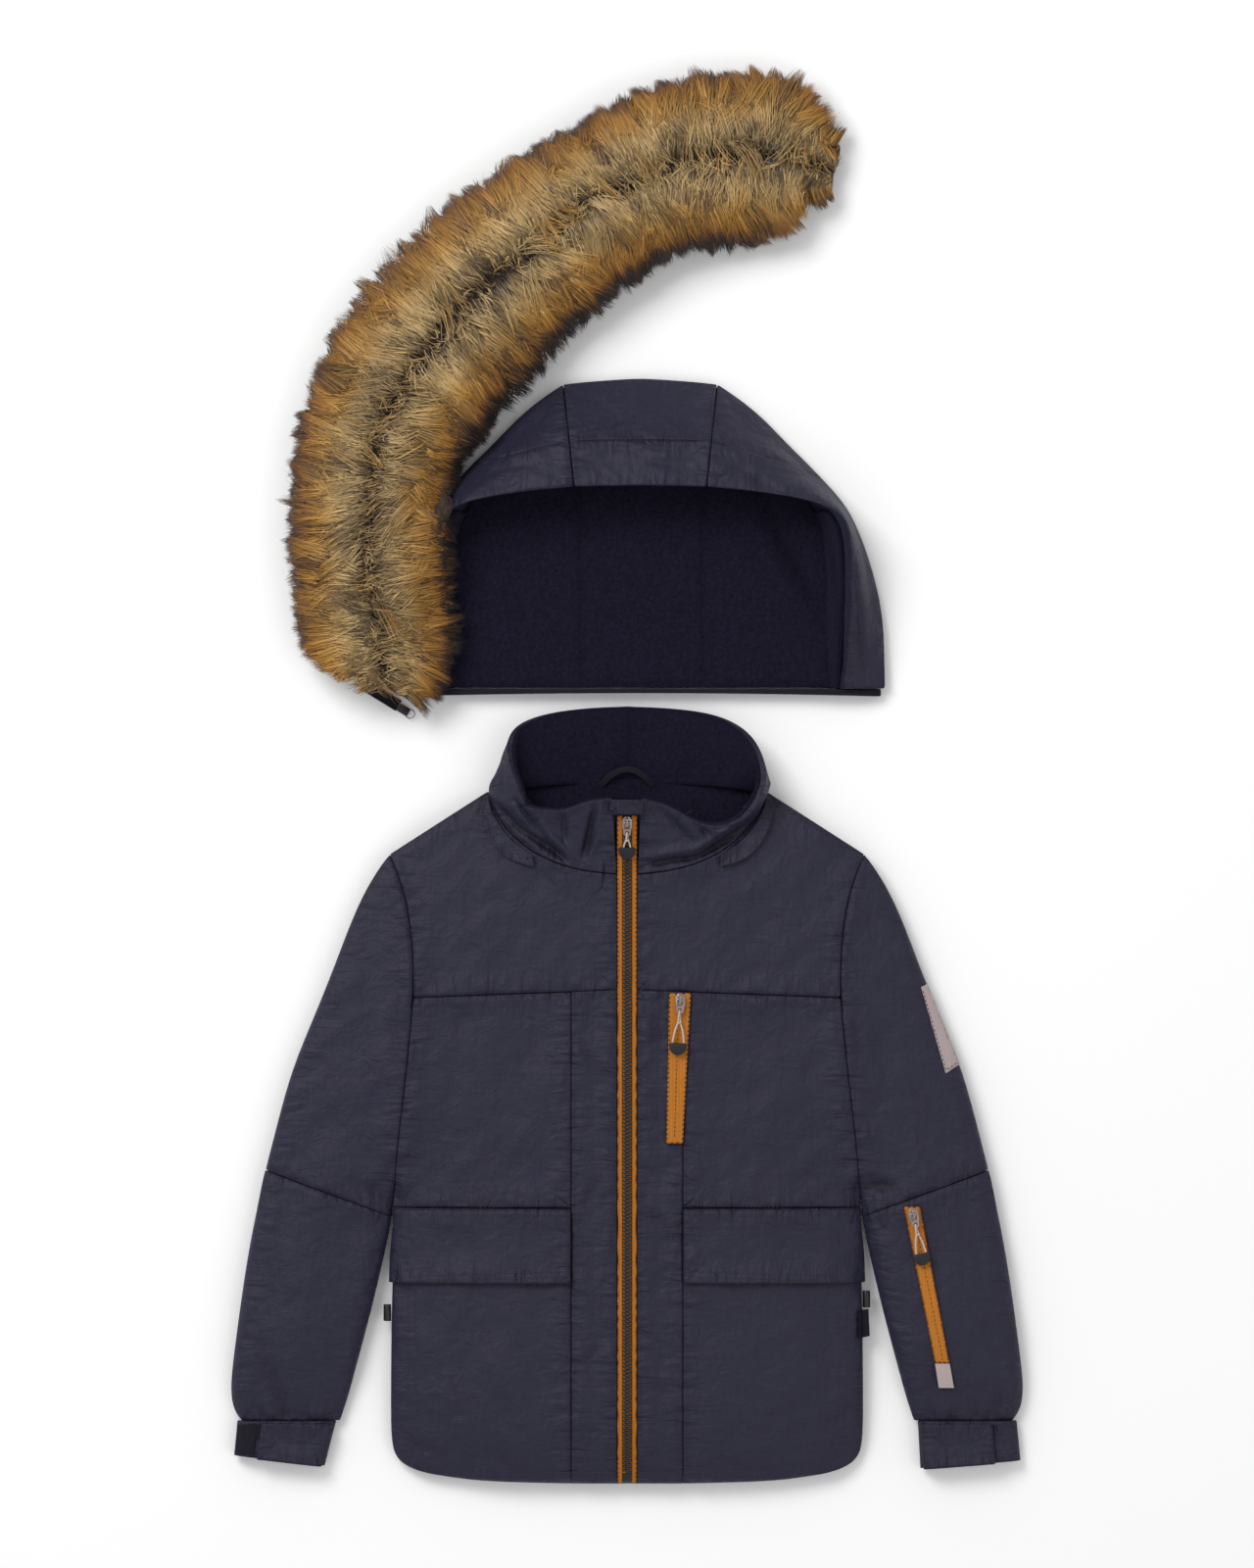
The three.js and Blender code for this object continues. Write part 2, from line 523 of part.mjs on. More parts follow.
function onCuff(side, piece, count, lift, thick) {
  const end = CUFFS[side];
  const plan = piece.rows.map((v) => spread(piece.from, piece.to, count).map((t) => {
    const a = { x: lerp(CUFF_TOP.in.x, end.in.x, v), up: lerp(CUFF_TOP.in.up, end.in.up, v) };
    const b = { x: lerp(CUFF_TOP.out.x, end.out.x, v), up: lerp(CUFF_TOP.out.up, end.out.up, v) };
    return { x: lerp(a.x, b.x, t), up: lerp(a.up, b.up, t) };
  }));
  const top = cuffTop(side);
  return slab(sided(plan, side), (p) => top(p) + lift, (p) => top(p) + lift + thick);
}
both('cuff_tab', (side) => onCuff(side, CUFF_TAB, 8, 0.5, 3), 'shell');
add('cuff_patch_L', onCuff(-1, CUFF_PATCH, 4, 0.5, 1.2), 'binding');

// ---------- collar ----------

// The collar stands from the neck seam. Each row is one place round the neck, from the zip at the
// front (first) to the middle of the back (last): where its upper edge, the rim, comes to.
const RIM_R = table(['x', 'up', 'z'], [
  [11, 531, 46], [30, 527, 45], [45, 518, 42], [58, 511, 40], [72, 509.5, 40], [87, 512.5, 42],
  [98, 522, 44], [105, 536, 45], [108.5, 550, 43], [105, 567, 36], [95, 584, 25], [72, 597, 12],
  [38, 601.6, 5], [0, 603.4, 4.5]]);
const RIM_L = table(['x', 'up', 'z'], [
  [11, 531, 46], [31, 530, 46], [46, 522, 44], [58, 522, 43], [70, 523, 43], [78, 525, 44],
  [82, 534, 46], [86, 545, 46], [91, 557, 43], [93, 573, 35], [90, 586, 25], [72, 596, 12],
  [38, 601.6, 5], [0, 603.4, 4.5]]);
const BACK_FEET = [12.4, 9.2, 4, 1, 0];   // height of the outside at the back neck seam
const COLLAR = { wall: 4.2, lining: 3, bulge: 5, steps: [0, 0.2, 0.55, 1] };

function collarFeet() {
  const front = NECK_FRONT.map((p) => ({ ...p, z: frontTop(p) }));
  const back = NECK_BACK.map((p, i) => ({ ...p, z: BACK_FEET[i] }));
  return [...front, ...back];
}

function collarOuter() {
  const feet = collarFeet();
  const centre = { x: 0, up: 515 };
  const wall = (rim, side) => feet.map((foot, i) => COLLAR.steps.map((t) => {
    const top = rim[i];
    const away = { x: foot.x - centre.x, up: foot.up - centre.up };
    const length = Math.hypot(away.x, away.up);
    const sideways = smooth((i - 5) / 3) * (1 - smooth((i - 9) / 3));
    const swell = COLLAR.bulge * Math.sin(Math.PI * t) * sideways;
    const clear = GAP + 0.25;
    const x = lerp(foot.x, top.x, t) + (swell * away.x) / length;
    const up = lerp(foot.up, top.up, t) + clear + (swell * away.up) / length;
    return jacket({ x: side * x, up }, lerp(foot.z, top.z, t));
  }));
  const right = wall(RIM_R, 1);
  const left = wall(RIM_L, -1);
  const round = [...right, ...left.slice(0, -1).reverse()];
  return COLLAR.steps.map((_, r) => round.map((column) => column[r]));
}

const collarFace = collarOuter();
const collarInside = offset(collarFace, -COLLAR.wall);
const liningOut = offset(collarFace, -COLLAR.wall - GAP);
const liningIn = offset(collarFace, -COLLAR.wall - GAP - COLLAR.lining);
add('collar_shell', between(collarFace, collarInside), 'shell');
add('collar_lining', between(liningOut, liningIn), 'fleece');

// A loop of ribbon at the middle of the back neck, to hang the jacket by.
const LOOP = { foot: 21, up: 541, rise: 14, low: 8.6, high: 14, wide: 5, thick: 1.2, steps: 10 };

function hangerLoop() {
  const rows = spread(-1, 1, LOOP.steps);
  const route = rows.map((t) => new THREE.Vector3(
    LOOP.foot * t, HEM_Y + LOOP.up + LOOP.rise * (1 - t * t), lerp(LOOP.low, LOOP.high, 1 - t ** 4)));
  const sideways = route.map((_, i) => {
    const step = route[Math.min(i + 1, LOOP.steps)].clone().sub(route[Math.max(i - 1, 0)]);
    return new THREE.Vector3(-step.y, step.x, 0).normalize().multiplyScalar(LOOP.wide / 2);
  });
  const at = (dz) => route.map((p, i) => [
    p.clone().sub(sideways[i]).setZ(p.z + dz), p.clone().add(sideways[i]).setZ(p.z + dz)]);
  return between(at(LOOP.thick), at(0));
}
add('hanger_loop', hangerLoop(), 'binding');

// Flaps at the front of the neck seam, over the zip that the hood fastens to.
const NECK_FLAP = table(['seamX', 'seamUp', 'x', 'up'], [
  [73, 489, 72.5, 479.8], [80, 493.5, 80, 481.4], [88.5, 500, 88.2, 483.8], [95, 507.5, 95.5, 488.5],
  [100, 515, 101.5, 494.5], [104.4, 522, 107, 502], [106.6, 530, 111, 512],
  [107.8, 536, 114, 526]]);

function neckFlap(side) {
  const plan = NECK_FLAP.map((row) => [1, 0.5, 0.08].map((t) => (
    { x: lerp(row.seamX, row.x, t), up: lerp(row.seamUp, row.up, t) })));
  return onFront(sided(plan, side), 1.4, 2.6);
}
both('neck_flap', neckFlap, 'shell');

// ---------- main zip ----------

const yokeRows = spread(YOKE_LOW, NECK_FRONT[0].up - 0.1, 6).slice(1);
const zipRows = [1, ...CENTRE_ROWS.slice(1), ...yokeRows, ...spread(485, ZIP.top, 3)];
const collarSlope = (RIM_R[0].z - frontTop(NECK_FRONT[0])) / (RIM_R[0].up - NECK_FRONT[0].up);

function zipTop(up) {
  const onCollar = Math.max(0, up - NECK_FRONT[0].up) * collarSlope;
  return tapeTop(Math.min(up, NECK_FRONT[0].up)) + onCollar;
}

function zipStrip(from, to, thick, rows = zipRows) {
  const plan = rows.map((up) => spread(from, to, 1).map((x) => ({ x, up: Math.max(up, hemUp(x)) })));
  const low = (p) => zipTop(p.up) - ZIP.tapeThick;
  return slab(plan, low, (p) => low(p) + thick);
}

for (const [tag, side] of [['L', -1], ['R', 1]]) {
  const edges = [ZIP.chain + GAP, ZIP.tape - GAP - 0.1].map((x) => x * side);
  add(`zip_tape_${tag}`, zipStrip(edges[0], edges[1], ZIP.tapeThick), 'tape');
}
add('zip_chain', zipStrip(-ZIP.chain, ZIP.chain, ZIP.chainThick, [...zipRows.slice(2, -1), 506.5]), 'teeth');
add('zip_stop', zipStrip(-ZIP.chain, ZIP.chain, 3, [1, 3, 8.6]), 'metal');

// A small tab of cloth over the top of the zip.
const GARAGE = { half: 13, from: 519.8, to: 531, thick: 5, lift: 2, fall: 3 };
const garagePlan = spread(GARAGE.from, GARAGE.to, 3).map((up) => spread(-GARAGE.half, GARAGE.half, 6)
  .map((x) => ({ x, up })));
const garageBase = (p) => zipTop(p.up) + GARAGE.lift;
add('zip_garage', slab(garagePlan, garageBase, (p) => garageBase(p) + GARAGE.thick
  - GARAGE.fall * (p.x / GARAGE.half) ** 4), 'shell');

// ---------- hood ----------

// The hood lies on its back with its face up. Each row is one place along its front edge, from the
// neck up one side to the middle of the brim: the outline on the floor, the rim that stands above it
// (leftZ is the height on the side that the fur weighs down), and where the inside meets the lining.
const HOOD_EDGE = table(['x', 'up', 'rimX', 'rimUp', 'rimZ', 'leftZ', 'footX', 'footUp'], [
  [190, 2, 158, 2, 20, 18, 150, 2],
  [189, 49, 163, 47, 34, 24, 147, 47],
  [182, 87, 164, 84, 42, 30, 148, 82],
  [172, 118, 163, 112, 49, 40, 147, 108],
  [160, 143, 157, 134, 54, 50, 144, 128],
  [140, 166, 135, 145, 57, 57, 132, 152],
  [113, 193, 105, 151, 60, 60, 107, 184],
  [60, 238, 51, 156.5, 62, 62, 57, 229],
  [0, 243, 0, 157.5, 63, 63, 0, 234]]);
HOOD_EDGE.forEach((row, i) => { row.place = i; });
const BRIM_SEAM = 7;               // row of HOOD_EDGE where the middle panel meets the side panels
const HOOD_BACK = { thick: 8, curl: 6.8 };
const HOOD_LINING = { low: 8.3, thick: 3, cheek: 0.6, brim: 3.6 };
const BAND = { low: 8.4, steps: [0, 0.1, 0.3, 0.56, 0.8, 1] };
const QUILT = { fromRim: 37, depth: 2.2, width: 7 };

const readEdge = (column) => reader(HOOD_EDGE, 'place', column);
const edgeAt = Object.fromEntries(['x', 'up', 'rimX', 'rimUp', 'rimZ', 'leftZ', 'footX', 'footUp']
  .map((column) => [column, readEdge(column)]));
const hooded = (x, up, z) => new THREE.Vector3(HOOD.x + x, HOOD.y + up, z);

function bandRow(place, side) {
  const at = (column) => edgeAt[column](place);
  const rimZ = side > 0 ? at('rimZ') : at('leftZ');
  const length = Math.hypot(at('rimX') - at('x'), at('rimUp') - at('up'));
  const brim = smooth((place - 4) / 2);
  const outer = BAND.steps.map((w) => {
    const z = lerp(BAND.low + 1.6, rimZ, Math.sin((Math.PI / 2) * w) ** 0.85);
    const quilted = QUILT.depth * dip((1 - w) * length - QUILT.fromRim, QUILT.width) * brim;
    return hooded(side * lerp(at('x'), at('rimX'), w), lerp(at('up'), at('rimUp'), w), z - quilted);
  });
  outer.unshift(outer[0].clone().setZ(BAND.low));
  const lip = { x: lerp(at('rimX'), at('footX'), 0.15), up: lerp(at('rimUp'), at('footUp'), 0.1) };
  const lipZ = rimZ - lerp(3, 9, brim);
  const inner = BAND.steps.map((w) => {
    const z = lerp(BAND.low, lipZ, lerp(w, Math.sin((Math.PI / 2) * w) ** 0.85, brim));
    return hooded(side * lerp(at('footX'), lip.x, w), lerp(at('footUp'), lip.up, w), z);
  });
  inner.unshift(inner[0].clone().lerp(outer[0], 0.3));
  return { outer, inner };
}

function band(places, sides) {
  const rows = places.map((place, i) => bandRow(place, sides[i]));
  return between(rows.map((row) => row.outer), rows.map((row) => row.inner));
}

const seamShift = 0.05;
const sidePlaces = [...spread(0, 6, 12), 6.5, BRIM_SEAM - seamShift / 6];
both('hood_side', (side) => band(sidePlaces, sidePlaces.map(() => side)), 'shell');
const middlePlaces = [BRIM_SEAM + seamShift / 6, 7.3, 7.65, 8];
const acrossPlaces = [...middlePlaces, ...middlePlaces.slice(0, -1).reverse()];
add('hood_centre', band(acrossPlaces, acrossPlaces.map((_, i) => (i < 4 ? 1 : -1))), 'shell');

// Plan grid inside the hood's outline, or inside the front part's foot, drawn in by `inset(place)`.
function hoodPlan(inset, x = 'x', upColumn = 'up') {
  const places = [0.02, 0.5, 1, 1.5, 2, 2.5, 3, 3.5, 4, 4.5, 5, 5.5, 6, 6.5, 7, 7.4, 8];
  const outline = places.map((place) => ({ x: edgeAt[x](place), up: edgeAt[upColumn](place) }));
  const drawn = outline.map((p, i) => {
    const [a, b] = [outline[Math.max(i - 1, 0)], outline[Math.min(i + 1, outline.length - 1)]];
    const length = Math.hypot(b.x - a.x, b.up - a.up);
    const by = inset(places[i]) / length;
    return { x: p.x - by * (b.up - a.up), up: p.up + by * (b.x - a.x) };
  });
  drawn[0].up = outline[0].up;
  drawn.at(-1).x = 0;
  const corner = 10;
  const right = drawn.slice(0, corner + 1);
  const topRight = drawn.slice(corner);
  const low = [1, 0.97, 0.9, 0.75, 0.5, 0.25, 0].map((t) => ({ x: t * right[0].x, up: right[0].up }));
  const across = (line) => [...line.slice(0, -1).map((p) => ({ x: -p.x, up: p.up })),
    ...[...line].reverse()];
  return patch(right.map((p) => ({ x: -p.x, up: p.up })), right, across(low), across(topRight));
}

const HOOD_OUTLINE = spread(0, 8, 64).map((place) => ({ x: edgeAt.x(place), up: edgeAt.up(place) }));
const fromOutline = (p) => distance(half(p), HOOD_OUTLINE);
const hoodSlab = (plan, under, over) => between(
  mapGrid(plan, (p) => hooded(p.x, p.up, over(p))), mapGrid(plan, (p) => hooded(p.x, p.up, under(p))));
add('hood_back', hoodSlab(hoodPlan(() => 0), (p) => HOOD_BACK.curl * (1 - roll(fromOutline(p) / BELLY)),
  () => HOOD_BACK.thick), 'shell');
const liningInset = (place) => lerp(HOOD_LINING.cheek, HOOD_LINING.brim, smooth((place - 1.6) / 2.4));
const flatLining = hoodSlab(hoodPlan(liningInset, 'footX', 'footUp'),
  () => HOOD_LINING.low, () => HOOD_LINING.low + HOOD_LINING.thick);

// ---------- boolean joins and cuts ----------

const wasm = await Module();
wasm.setup();

function solid(geometry) {
  const bare = geometry.clone();
  bare.deleteAttribute('normal');
  bare.deleteAttribute('uv');
  const merged = mergeVertices(bare, 1e-4);
  return new wasm.Manifold(new wasm.Mesh({
    numProp: 3,
    vertProperties: new Float32Array(merged.attributes.position.array),
    triVerts: new Uint32Array(merged.index.array),
  }));
}

function meshOf(manifold) {
  const { vertProperties, triVerts } = manifold.getMesh();
  const geometry = new THREE.BufferGeometry();
  geometry.setAttribute('position', new THREE.BufferAttribute(new Float32Array(vertProperties), 3));
  geometry.setIndex([...triVerts]);
  return geometry;
}

// The lining climbs the inside of both cheeks, nearly to the rim.
function cheekLining(side) {
  const rows = sidePlaces.slice(0, 10).map((place) => {
    const [, foot, ...climb] = bandRow(Math.max(place, 0.03), side).inner;
    return [foot.setZ(HOOD_LINING.low + 1), ...climb.slice(0, -1)];
  });
  const shift = (by) => rows.map((row) => row.map((p) => p.clone().add(
    new THREE.Vector3(-side * by, -by * 0.35, by * 0.25))));
  return between(shift(HOOD_LINING.thick + 0.7), shift(0.7));
}
const fullLining = [1, -1].reduce((sum, side) => sum.add(solid(cheekLining(side))), solid(flatLining));
add('hood_lining', meshOf(fullLining), 'fleece');

// Binding along the neck edge, with the half of the zip that joins the hood to the collar.
const NECK_BAND = { half: 187, from: -4, to: 1.6, sag: 2.6, low: 1.5, high: 12.5, cheek: 3.5, drop: 4 };
const neckBand = [NECK_BAND.from, NECK_BAND.to].map((up, r) => spread(-NECK_BAND.half, NECK_BAND.half, 16)
  .map((x) => ({ x, up: r ? up : up + NECK_BAND.sag * (1 - (x / NECK_BAND.half) ** 2) })));
add('hood_neck_band', hoodSlab(neckBand, () => NECK_BAND.low,
  (p) => NECK_BAND.high + NECK_BAND.cheek * dip(Math.abs(p.x) - 160, 14)
    - NECK_BAND.drop * smooth((Math.abs(p.x) - 170) / 14)), 'binding');

// ---------- fur trim ----------

const FUR = table(['x', 'y', 'width', 'height'], [
  [-180.1, 64.2, 50, 34], [-190, 97.7, 105, 50], [-195.3, 134.1, 116, 56], [-199.1, 188.1, 119, 58],
  [-195.3, 236.7, 122, 58], [-180.9, 286.1, 126, 58], [-152, 331.7, 137, 58], [-88.2, 397.9, 131, 56],
  [-36.5, 436.6, 121, 56], [1.1, 457.9, 119, 56], [40.3, 476.1, 124, 54], [96.2, 482.6, 127, 48],
  [133, 480, 92, 38], [161, 471.6, 30, 20]]);
const FUR_SECTION = [-1, -0.9, -0.7, -0.45, -0.2, 0, 0.2, 0.45, 0.7, 0.9, 1];
const FUR_PART = { depth: 5, width: 0.16 };
const FUR_EDGE = 3;

// Height of the hood's left side under a point of the shared frame.
const byHeight = HOOD_EDGE.slice(0, 6);
const leftAt = Object.fromEntries(['x', 'rimX', 'leftZ'].map((c) => [c, reader(byHeight, 'up', c)]));
function hoodLeftTop(x, y) {
  const [out, up] = [HOOD.x - x, y - HOOD.y];
  const w = clamp((leftAt.x(up) - out) / (leftAt.x(up) - leftAt.rimX(up)));
  const fade = smooth((up + 12) / 12) * (1 - smooth((up - 150) / 20));
  return w > 0 ? lerp(BAND.low, leftAt.leftZ(up), Math.sin((Math.PI / 2) * w) ** 0.85) * fade : 0;
}

function furLoft() {
  const spine = new THREE.CatmullRomCurve3(FUR.map((row) => new THREE.Vector3(row.x, row.y, 0)));
  FUR.forEach((row, i) => { row.place = i / (FUR.length - 1); });
  const [width, height] = ['width', 'height'].map((column) => reader(FUR, 'place', column));
  const rows = spread(0, 1, 27).map((t) => {
    const centre = spine.getPoint(t);
    const along = spine.getTangent(t);
    const across = new THREE.Vector3(along.y, -along.x, 0);
    const top = FUR_SECTION.map((u) => {
      const p = centre.clone().addScaledVector(across, (u * width(t)) / 2);
      const crown = (1 - Math.abs(u) ** 2.6) ** 0.6 * (height(t) - FUR_EDGE);
      const parting = FUR_PART.depth * dip(u, FUR_PART.width);
      const over = hoodLeftTop(p.x, p.y);
      const cover = over > 0 ? over + 4 + 8 * (1 - u ** 2) : 0;
      return p.setZ(Math.max(FUR_EDGE + crown - parting, cover));
    });
    const floor = [1, 0, -1].map((u) => centre.clone().addScaledVector(across, (u * width(t)) / 2));
    return { top, floor: [...floor] };
  });
  const inner = rows.map(({ top, floor }) => top.map((p) => {
    const t = Math.hypot(p.x - top[0].x, p.y - top[0].y) / Math.hypot(
      top.at(-1).x - top[0].x, top.at(-1).y - top[0].y);
    return floor[2].clone().lerp(floor[0], t);
  }));
  return between(rows.map((row) => row.top), inner);
}

// What the hood's left side takes out of the fur: its outside with a clearance, down to the floor.
function hoodCutter() {
  const clear = 0.7;
  const places = [-0.3, ...spread(0, 6, 12), 6.5];
  const rows = places.map((place) => {
    const { outer } = bandRow(Math.max(place, 0), -1);
    const drop = Math.min(place, 0) * 30;
    const raised = outer.map((p) => p.clone().add(new THREE.Vector3(-clear, drop, clear)));
    const out = raised[0].clone().add(new THREE.Vector3(-0.3, 0, 0)).setZ(-1);
    const ridge = raised.at(-1).clone().add(new THREE.Vector3(60, 0, 0));
    return [out, ...raised, ridge];
  });
  return between(rows, mapGrid(rows, (p) => p.clone().setZ(-5)));
}

// The lower end of the fur is trimmed square to its zip, which lies along the cut.
const TRIM_ZIP = { from: { x: -206, y: 74.7 }, to: { x: -173, y: 54.5 }, half: 4, clear: 5.4 };
const trimAlong = new THREE.Vector3(
  TRIM_ZIP.to.x - TRIM_ZIP.from.x, TRIM_ZIP.to.y - TRIM_ZIP.from.y, 0).normalize();
const trimTurn = Math.atan2(trimAlong.y, trimAlong.x);
const trimCutter = new THREE.BoxGeometry(160, 60, 200).translate(0, TRIM_ZIP.clear - 30, 0)
  .rotateZ(trimTurn).translate(TRIM_ZIP.from.x, TRIM_ZIP.from.y, 0);
const fur = solid(furLoft()).subtract(solid(hoodCutter())).subtract(solid(trimCutter));
add('fur_trim', meshOf(fur), 'fur');

// ---------- zips on the chest and the sleeve, label and tags ----------

// A closed strip on the front between two level edges, each given by its ends and height.
function laidStrip(high, low, thick, { rows = 8, columns = 3 } = {}) {
  const plan = spread(0, 1, rows).map((v) => spread(0, 1, columns).map((t) => ({
    x: lerp(lerp(low.left, low.right, t), lerp(high.left, high.right, t), v),
    up: lerp(low.up, high.up, v) })));
  return onFront(plan, ZIP_LIFT, thick);
}
const CHEST_ZIP = {
  high: { left: 32.7, right: 49.4, up: 381.4 }, low: { left: 30.4, right: 43.3, up: 265.2 } };
const SLEEVE_ZIP = {
  high: { left: 214.3, right: 227, up: 216 }, low: { left: 238.6, right: 249.9, up: 94.8 } };
const SLEEVE_ZIP_END = {
  high: { left: 238.7, right: 250, up: 94.4 }, low: { left: 241.7, right: 253.4, up: 75.5 } };
const ZIP_LIFT = 1.2;
add('chest_zip_tape', laidStrip(CHEST_ZIP.high, CHEST_ZIP.low, 1.2), 'tape');
add('sleeve_zip_tape', laidStrip(SLEEVE_ZIP.high, SLEEVE_ZIP.low, 1.2), 'tape');
add('sleeve_zip_end', laidStrip(SLEEVE_ZIP_END.high, SLEEVE_ZIP_END.low, 1.6, { rows: 2 }), 'label');

// Pieces sewn into an outer seam lie on the padding and then reach past it.
function overEdge(corners, shares, rows, edgeX, lift, thick) {
  const [lowIn, lowOut, highOut, highIn] = corners;
  const plan = spread(0, 1, rows).map((v) => shares.map((t) => ({
    x: lerp(lerp(lowIn.x, lowOut.x, t), lerp(highIn.x, highOut.x, t), v),
    up: lerp(lerp(lowIn.up, lowOut.up, t), lerp(highIn.up, highOut.up, t), v) })));
  const base = (p) => {
    const past = Math.max(0, p.x - edgeX(p.up));
    return frontTop({ x: Math.min(p.x, edgeX(p.up)), up: p.up }) + lift - past * 0.3;
  };
  return slab(plan, base, (p) => base(p) + thick);
}
const LABEL_CORNERS = [
  { x: 247, up: 319 }, { x: 263, up: 329 }, { x: 240.9, up: 391.4 }, { x: 228, up: 386 }];
add('sleeve_label', overEdge(LABEL_CORNERS, [0, 0.3, 0.55, 0.75, 1], 6, sleeveOutX, 2.2, 1.4), 'label');
const TAG_CORNERS = [
  { x: 179.4, up: 113 }, { x: 188.5, up: 115 }, { x: 187.5, up: 136 }, { x: 179.4, up: 135 }];
add('side_tag_R', overEdge(TAG_CORNERS, [0, 0.2, 0.45, 0.7, 1], 3, sideX, 0.8, 1.2), 'binding');

// Cord locks at the sides, for the drawcord in the waist.
const TOGGLE = { r: 3.1, long: 13, up: { 1: 143.5, '-1': 133 } };

function toggle(side) {
  const up = TOGGLE.up[side];
  return new THREE.CylinderGeometry(TOGGLE.r, TOGGLE.r, TOGGLE.long, 10)
    .translate(side * (sideX(up) + TOGGLE.r + GAP), HEM_Y + up, MID);
}
both('side_toggle', toggle, 'binding');

// ---------- sliders and their pulls ----------

// In a pull's own frame its hinge is the x axis, it hangs towards -y, and the zip lies under it.
const SLIDER = { wide: 8, front: -6.5, rear: 4.5, low: -3.3, high: -1.1 };
const CROWN_ARCH = { wide: 1.6, inner: 2.6, outer: 3.6, under: 1.05, over: 2.05 };
const TAB = { bar: 0.6, rail: 2.1, half: 3.2, window: -4.8, end: -10.4, eye: -8.1, eyeR: 1.35 };
const CORD_R = 0.7;

function plate(outline, thick, holes = []) {
  const shape = new THREE.Shape(outline.map(([x, y]) => new THREE.Vector2(x, y)));
  shape.holes = holes;
  return new THREE.ExtrudeGeometry(shape, { depth: thick, bevelEnabled: false, curveSegments: 6 })
    .translate(0, 0, -thick / 2);
}

function archGeometry({ wide, inner, outer, under, over }, foot) {
  const side = [[outer, foot], [outer, over - 0.5], [outer - 0.5, over], [0.5 - outer, over],
    [-outer, over - 0.5], [-outer, foot], [-inner, foot], [-inner, under], [inner, under], [inner, foot]];
  return plate(side, wide).rotateX(Math.PI / 2).rotateZ(Math.PI / 2);
}

function sliderGeometry() {
  const { wide, front, rear, low, high } = SLIDER;
  const base = plate([[-wide / 2 + 1, front], [wide / 2 - 1, front], [wide / 2, front + 2],
    [wide / 2, rear - 3], [wide / 2 - 2, rear], [2 - wide / 2, rear], [-wide / 2, rear - 3],
    [-wide / 2, front + 2]], high - low).translate(0, 0, (high + low) / 2);
  return meshOf(solid(base).add(solid(archGeometry(CROWN_ARCH, high - 0.4))));
}

function tabGeometry() {
  const { bar, rail, half: side, window: near, end, eye, eyeR } = TAB;
  const eyeHole = new THREE.Path().absarc(0, eye, eyeR, 0, 2 * Math.PI, true);
  const windowHole = new THREE.Path([[-rail, near], [rail, near], [rail, -bar], [-rail, -bar]]
    .reverse().map(([x, y]) => new THREE.Vector2(x, y)));
  return plate([[-side, bar], [-side, near - 1], [-side + 0.4, end + 1], [-side + 1.4, end],
    [side - 1.4, end], [side - 0.4, end + 1], [side, near - 1], [side, bar]],
  2 * bar, [eyeHole, windowHole]);
}

function rope(points, steps) {
  const ring = new THREE.Shape().absarc(0, 0, CORD_R, 0, 2 * Math.PI);
  const extrudePath = new THREE.CatmullRomCurve3(points.map((p) => new THREE.Vector3(...p)));
  return new THREE.ExtrudeGeometry(ring, { steps, curveSegments: 3, bevelEnabled: false, extrudePath });
}

// The cord is looped through the tab's eye and knotted; its two legs spread to the grip.
function cordGeometry({ knot, grip, spreadOut }) {
  const end = TAB.end - CORD_R - 0.9;
  const leg = (side, z) => rope([
    [side * spreadOut, grip + GAP, 0], [side * spreadOut * 0.7, lerp(grip, knot, 0.6), 0],
    [side * 0.3, knot, 0], [0, (knot + end) / 2, z * 0.7], [0, TAB.end + 0.2, z],
    [0, TAB.eye - 0.55, z * 0.75], [0, TAB.eye + 0.05, 0]], 11);
  const ball = new THREE.SphereGeometry(1.9, 7, 5).scale(1, 1, 0.8).translate(0, knot, 0);
  const reach = TAB.bar + CORD_R + 0.35;
  return meshOf(solid(leg(-1, reach)).add(solid(leg(1, -reach))).add(solid(ball)));
}

function gripGeometry({ grip, end }) {
  const [wide, narrow, r] = [6.5, 5.6, 2.4];
  const shape = new THREE.Shape();
  shape.moveTo(-narrow + 1, grip);
  shape.lineTo(narrow - 1, grip);
  shape.quadraticCurveTo(narrow, grip, narrow + 0.2, grip - 1);
  shape.lineTo(wide, end + r);
  shape.quadraticCurveTo(wide, end, wide - r, end);
  shape.lineTo(r - wide, end);
  shape.quadraticCurveTo(-wide, end, -wide, end + r);
  shape.lineTo(-narrow - 0.2, grip - 1);
  shape.quadraticCurveTo(-narrow, grip, 1 - narrow, grip);
  return new THREE.ExtrudeGeometry(shape, {
    depth: 2.1, bevelThickness: 0.6, bevelSize: 0.6, bevelOffset: -0.6, bevelSegments: 1, curveSegments: 2,
  }).translate(0, 0, -1.05);
}

function addPull(name, slider, { at, towards, tilt = 0, ...lengths }) {
  const group = new THREE.Group();
  group.position.copy(at);
  group.rotation.set(tilt, 0, Math.atan2(towards.x, -towards.y), 'ZYX');
  garment.add(group);
  add(slider, sliderGeometry(), 'metal', group);
  add(`${name}_tab`, tabGeometry(), 'metal', group);
  add(`${name}_cord`, cordGeometry(lengths), 'cord', group);
  add(`${name}_grip`, gripGeometry(lengths), 'rubber', group);
}

